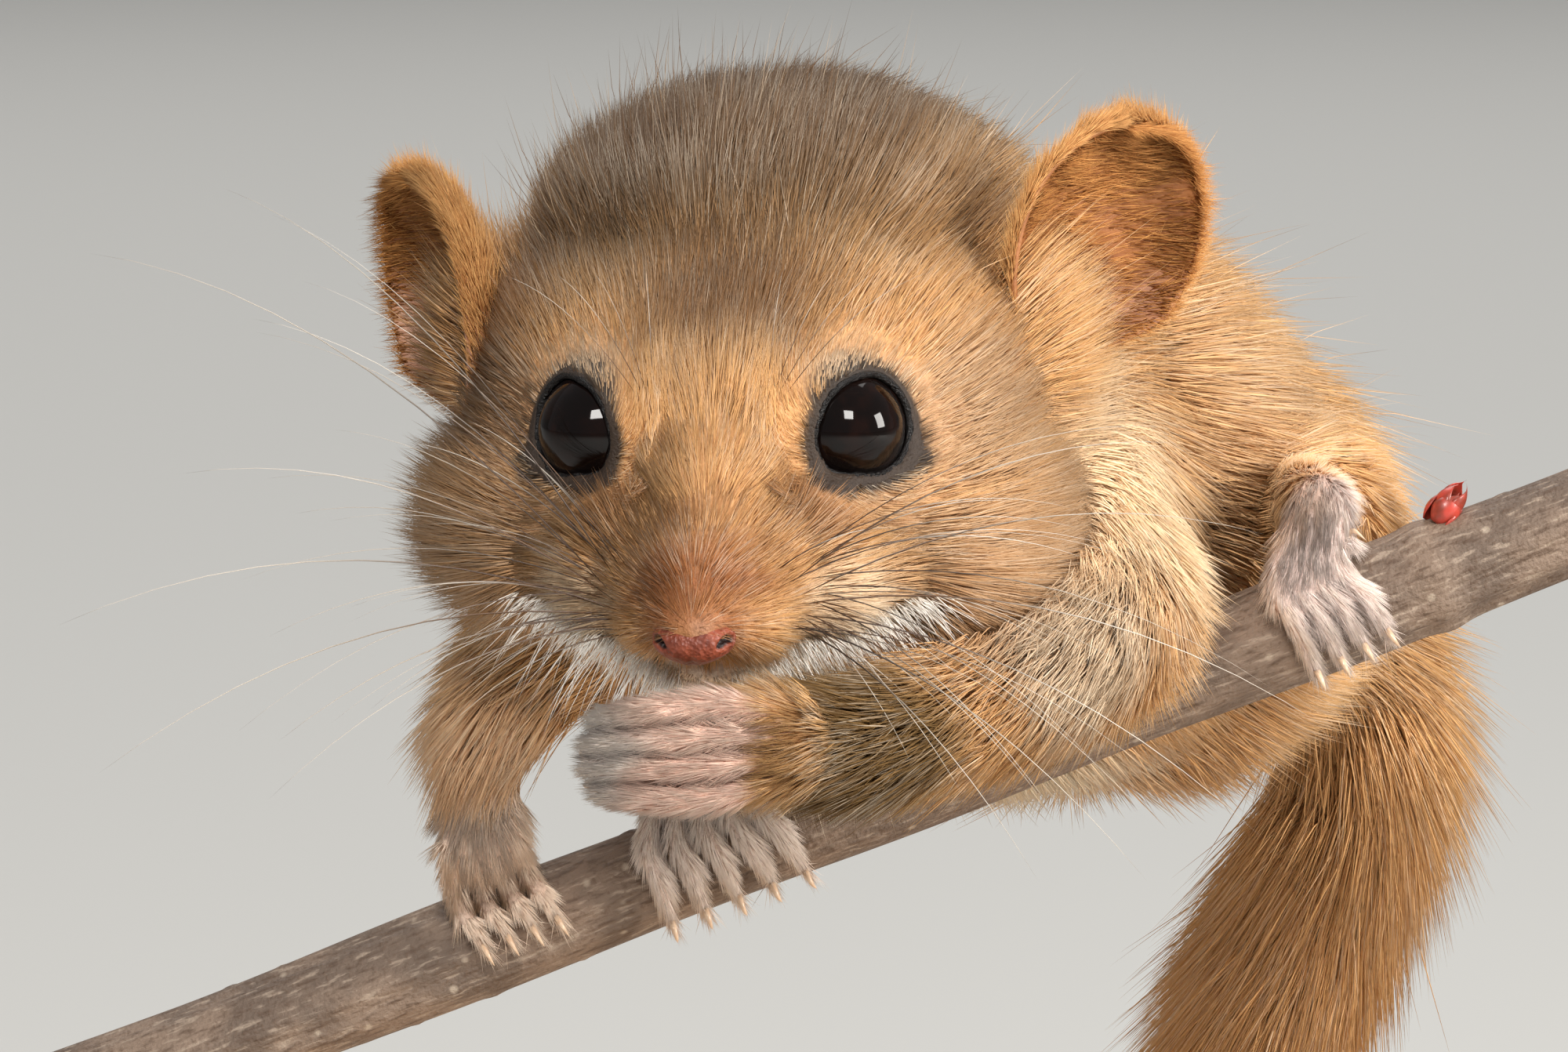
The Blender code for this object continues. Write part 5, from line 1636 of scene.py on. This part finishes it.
twig = new_piece("twig", twig_mesh(), BARK)
twig.data.materials.append(CUT_WOOD)
for end in list(twig.data.polygons)[-2:]:
    end.material_index = 1
    end.use_smooth = False
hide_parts("perch_twig")
print("twig", 2 * TWIG_HALF, "mm long")

# %% [markdown]
# The bud is seven overlapping scales. Each is a curved leaf with its own thickness, turned a little
# further round the axis than the last, as scales grow. A smooth egg would be simpler, but the edges of
# the scales are what one sees of a bud.

# %% The bud
BUD_SCALES = 7
BUD = blotchy_finish("bud", 0.4, 1.8, (0.35, 0.65), (paint(186, 62, 48), paint(132, 50, 34)), Coat_Weight=0.2)


def bud_mesh():
    """A bud of overlapping scales, each a bowl-shaped leaf round the bud's axis."""
    base = np.array(on_twig(BUD_ALONG - 0.4, 8.0, -0.2))
    axis = unit(np.array(TWIG_ALONG) + 0.6 * np.array(TWIG_TOP))
    across = unit(np.cross(axis, np.array(TWIG_FRONT)))
    other = np.cross(axis, across)
    points, faces = [], []
    rows, columns = 12, 9
    for k in range(BUD_SCALES):
        facing = 2.4 * k
        start = 0.16 * k
        tall, wide = 1.7 - 0.05 * k, 0.62 - 0.035 * k
        outer = []
        for thick in (0.0, 0.07):
            for j in range(rows):
                t = j / (rows - 1)
                span = 1.15 * math.sin(math.pi * min(t + 0.16, 1.0)) ** 0.7
                reach = (wide + thick) * math.sin(math.pi * (0.2 + 0.8 * t)) ** 0.8 + 0.02
                for i in range(columns):
                    angle = facing + span * (2.0 * i / (columns - 1) - 1.0)
                    round_axis = across * math.cos(angle) + other * math.sin(angle)
                    outer.append(base + axis * (start + tall * t) + round_axis * reach)
        faces += shell_faces(rows, columns, len(points))
        points += outer
    return mesh_from("bud", points, faces)


new_piece("bud", bud_mesh(), BUD)
print("bud of", BUD_SCALES, "scales")

# %% [markdown]
# The stand is oiled beech with two brushed steel rods, and keeps its packed solids. Board and rods are
# plain shapes already, so only their materials change. The grain is noise, stretched along the board.

# %% The stand
def beech_finish():
    material, nodes, shader = new_finish("beech", 0.42)
    place = object_place(nodes)
    stretched = nodes.vector("MULTIPLY", place, (0.05, 1.0, 1.0))
    grain = nodes.noise(stretched, 0.7, 6.0)
    flecks = nodes.noise(nodes.vector("MULTIPLY", place, (0.25, 2.2, 2.2)), 1.6, 2.0)
    colour = nodes.mix(nodes.ramp(grain, 0.3, 0.7), paint(196, 152, 106), paint(224, 186, 140))
    colour = nodes.mix(nodes.ramp(flecks, 0.62, 0.72, 0.0, 0.5), colour, paint(150, 104, 66))
    nodes.put(shader.inputs["Base Color"], colour)
    add_bump(nodes, shader, grain, 0.04)
    return material


def steel_finish():
    material, nodes, shader = new_finish("steel", 0.3, Metallic=1.0)
    brushed = nodes.noise(nodes.vector("MULTIPLY", object_place(nodes), (6.0, 6.0, 0.2)), 2.0, 3.0)
    nodes.put(shader.inputs["Base Color"], nodes.mix(brushed, paint(168, 168, 172), paint(206, 206, 210)))
    add_bump(nodes, shader, brushed, 0.01)
    return material


def dress(node, material):
    """Give a packed node a finished material in place of its plain one."""
    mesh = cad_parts[node].data
    mesh.materials.clear()
    mesh.materials.append(material)


dress("stand_base", beech_finish())
STEEL = steel_finish()
for node in ("stand_rod_left", "stand_rod_right"):
    dress(node, STEEL)
print("dressed the stand")

# %% [markdown]
# The studio is a pale sheet that lies under the stand and curves up far behind it. It is there for the
# picture and isn't part of the model.

# %% The studio's sheet
def studio_sheet():
    width, front, back_at, bend, top = 14000.0, -6000.0, 2400.0, 600.0, 2600.0
    profile = [(front, 0.0), (back_at - bend, 0.0)]
    for turn in np.linspace(0.0, math.pi / 2, 16)[1:]:
        profile.append((back_at - bend + bend * math.sin(turn), bend - bend * math.cos(turn)))
    profile.append((back_at, top))
    points = [(x, y, z) for y, z in profile for x in (-width / 2, width / 2)]
    faces = [(2 * i, 2 * i + 1, 2 * i + 3, 2 * i + 2) for i in range(len(profile) - 1)]
    return mesh_from("studio_sheet", points, faces)


def sheet_finish():
    material, _, shader = new_finish("studio sheet", 0.9)
    shader.inputs["Base Color"].default_value = (*paint(198, 198, 195), 1.0)
    return material


sheet = bpy.data.objects.new("studio_sheet", studio_sheet())
sheet.data.materials.append(sheet_finish())
bpy.context.scene.collection.objects.link(sheet)
print("sheet of", len(sheet.data.polygons), "faces")

# %% [markdown]
# Two soft boxes stand in front and to the side, and their reflections are the bright spots in the eyes. A
# large one hangs overhead and behind, lights the sheet and draws a fine bright edge on the coat.

# %% The lamps
def soft_box(name, place, size, watts, colour):
    lamp = bpy.data.lights.new(name, "AREA")
    lamp.shape = "RECTANGLE"
    lamp.size, lamp.size_y = size[0] * MM, size[1] * MM
    lamp.energy = watts
    lamp.color = colour
    made = bpy.data.objects.new(name, lamp)
    made.location = Vector(place) * MM
    made.rotation_euler = (Vector(place) - FACE_PLANE).to_track_quat("Z", "Y").to_euler()
    bpy.context.scene.collection.objects.link(made)


soft_box("key", (465.0, -180.0, 245.0), (170.0, 230.0), 3.3, (1.0, 0.96, 0.91))
soft_box("fill", (-15.0, -425.0, 385.0), (140.0, 150.0), 2.3, (1.0, 0.97, 0.93))
soft_box("overhead", (60.0, 900.0, 1300.0), (1200.0, 1200.0), 14.0, (1.0, 0.98, 0.95))

world = bpy.data.worlds.new("studio air")
world.use_nodes = True
world.node_tree.nodes["Background"].inputs["Color"].default_value = (0.97, 0.97, 1.0, 1.0)
world.node_tree.nodes["Background"].inputs["Strength"].default_value = 0.25
bpy.context.scene.world = world
bpy.context.scene.view_settings.view_transform = "Standard"
print("lamps:", ", ".join(lamp.name for lamp in bpy.data.lights))

# %% [markdown]
# The dressed model has to stay the size of the packed one.
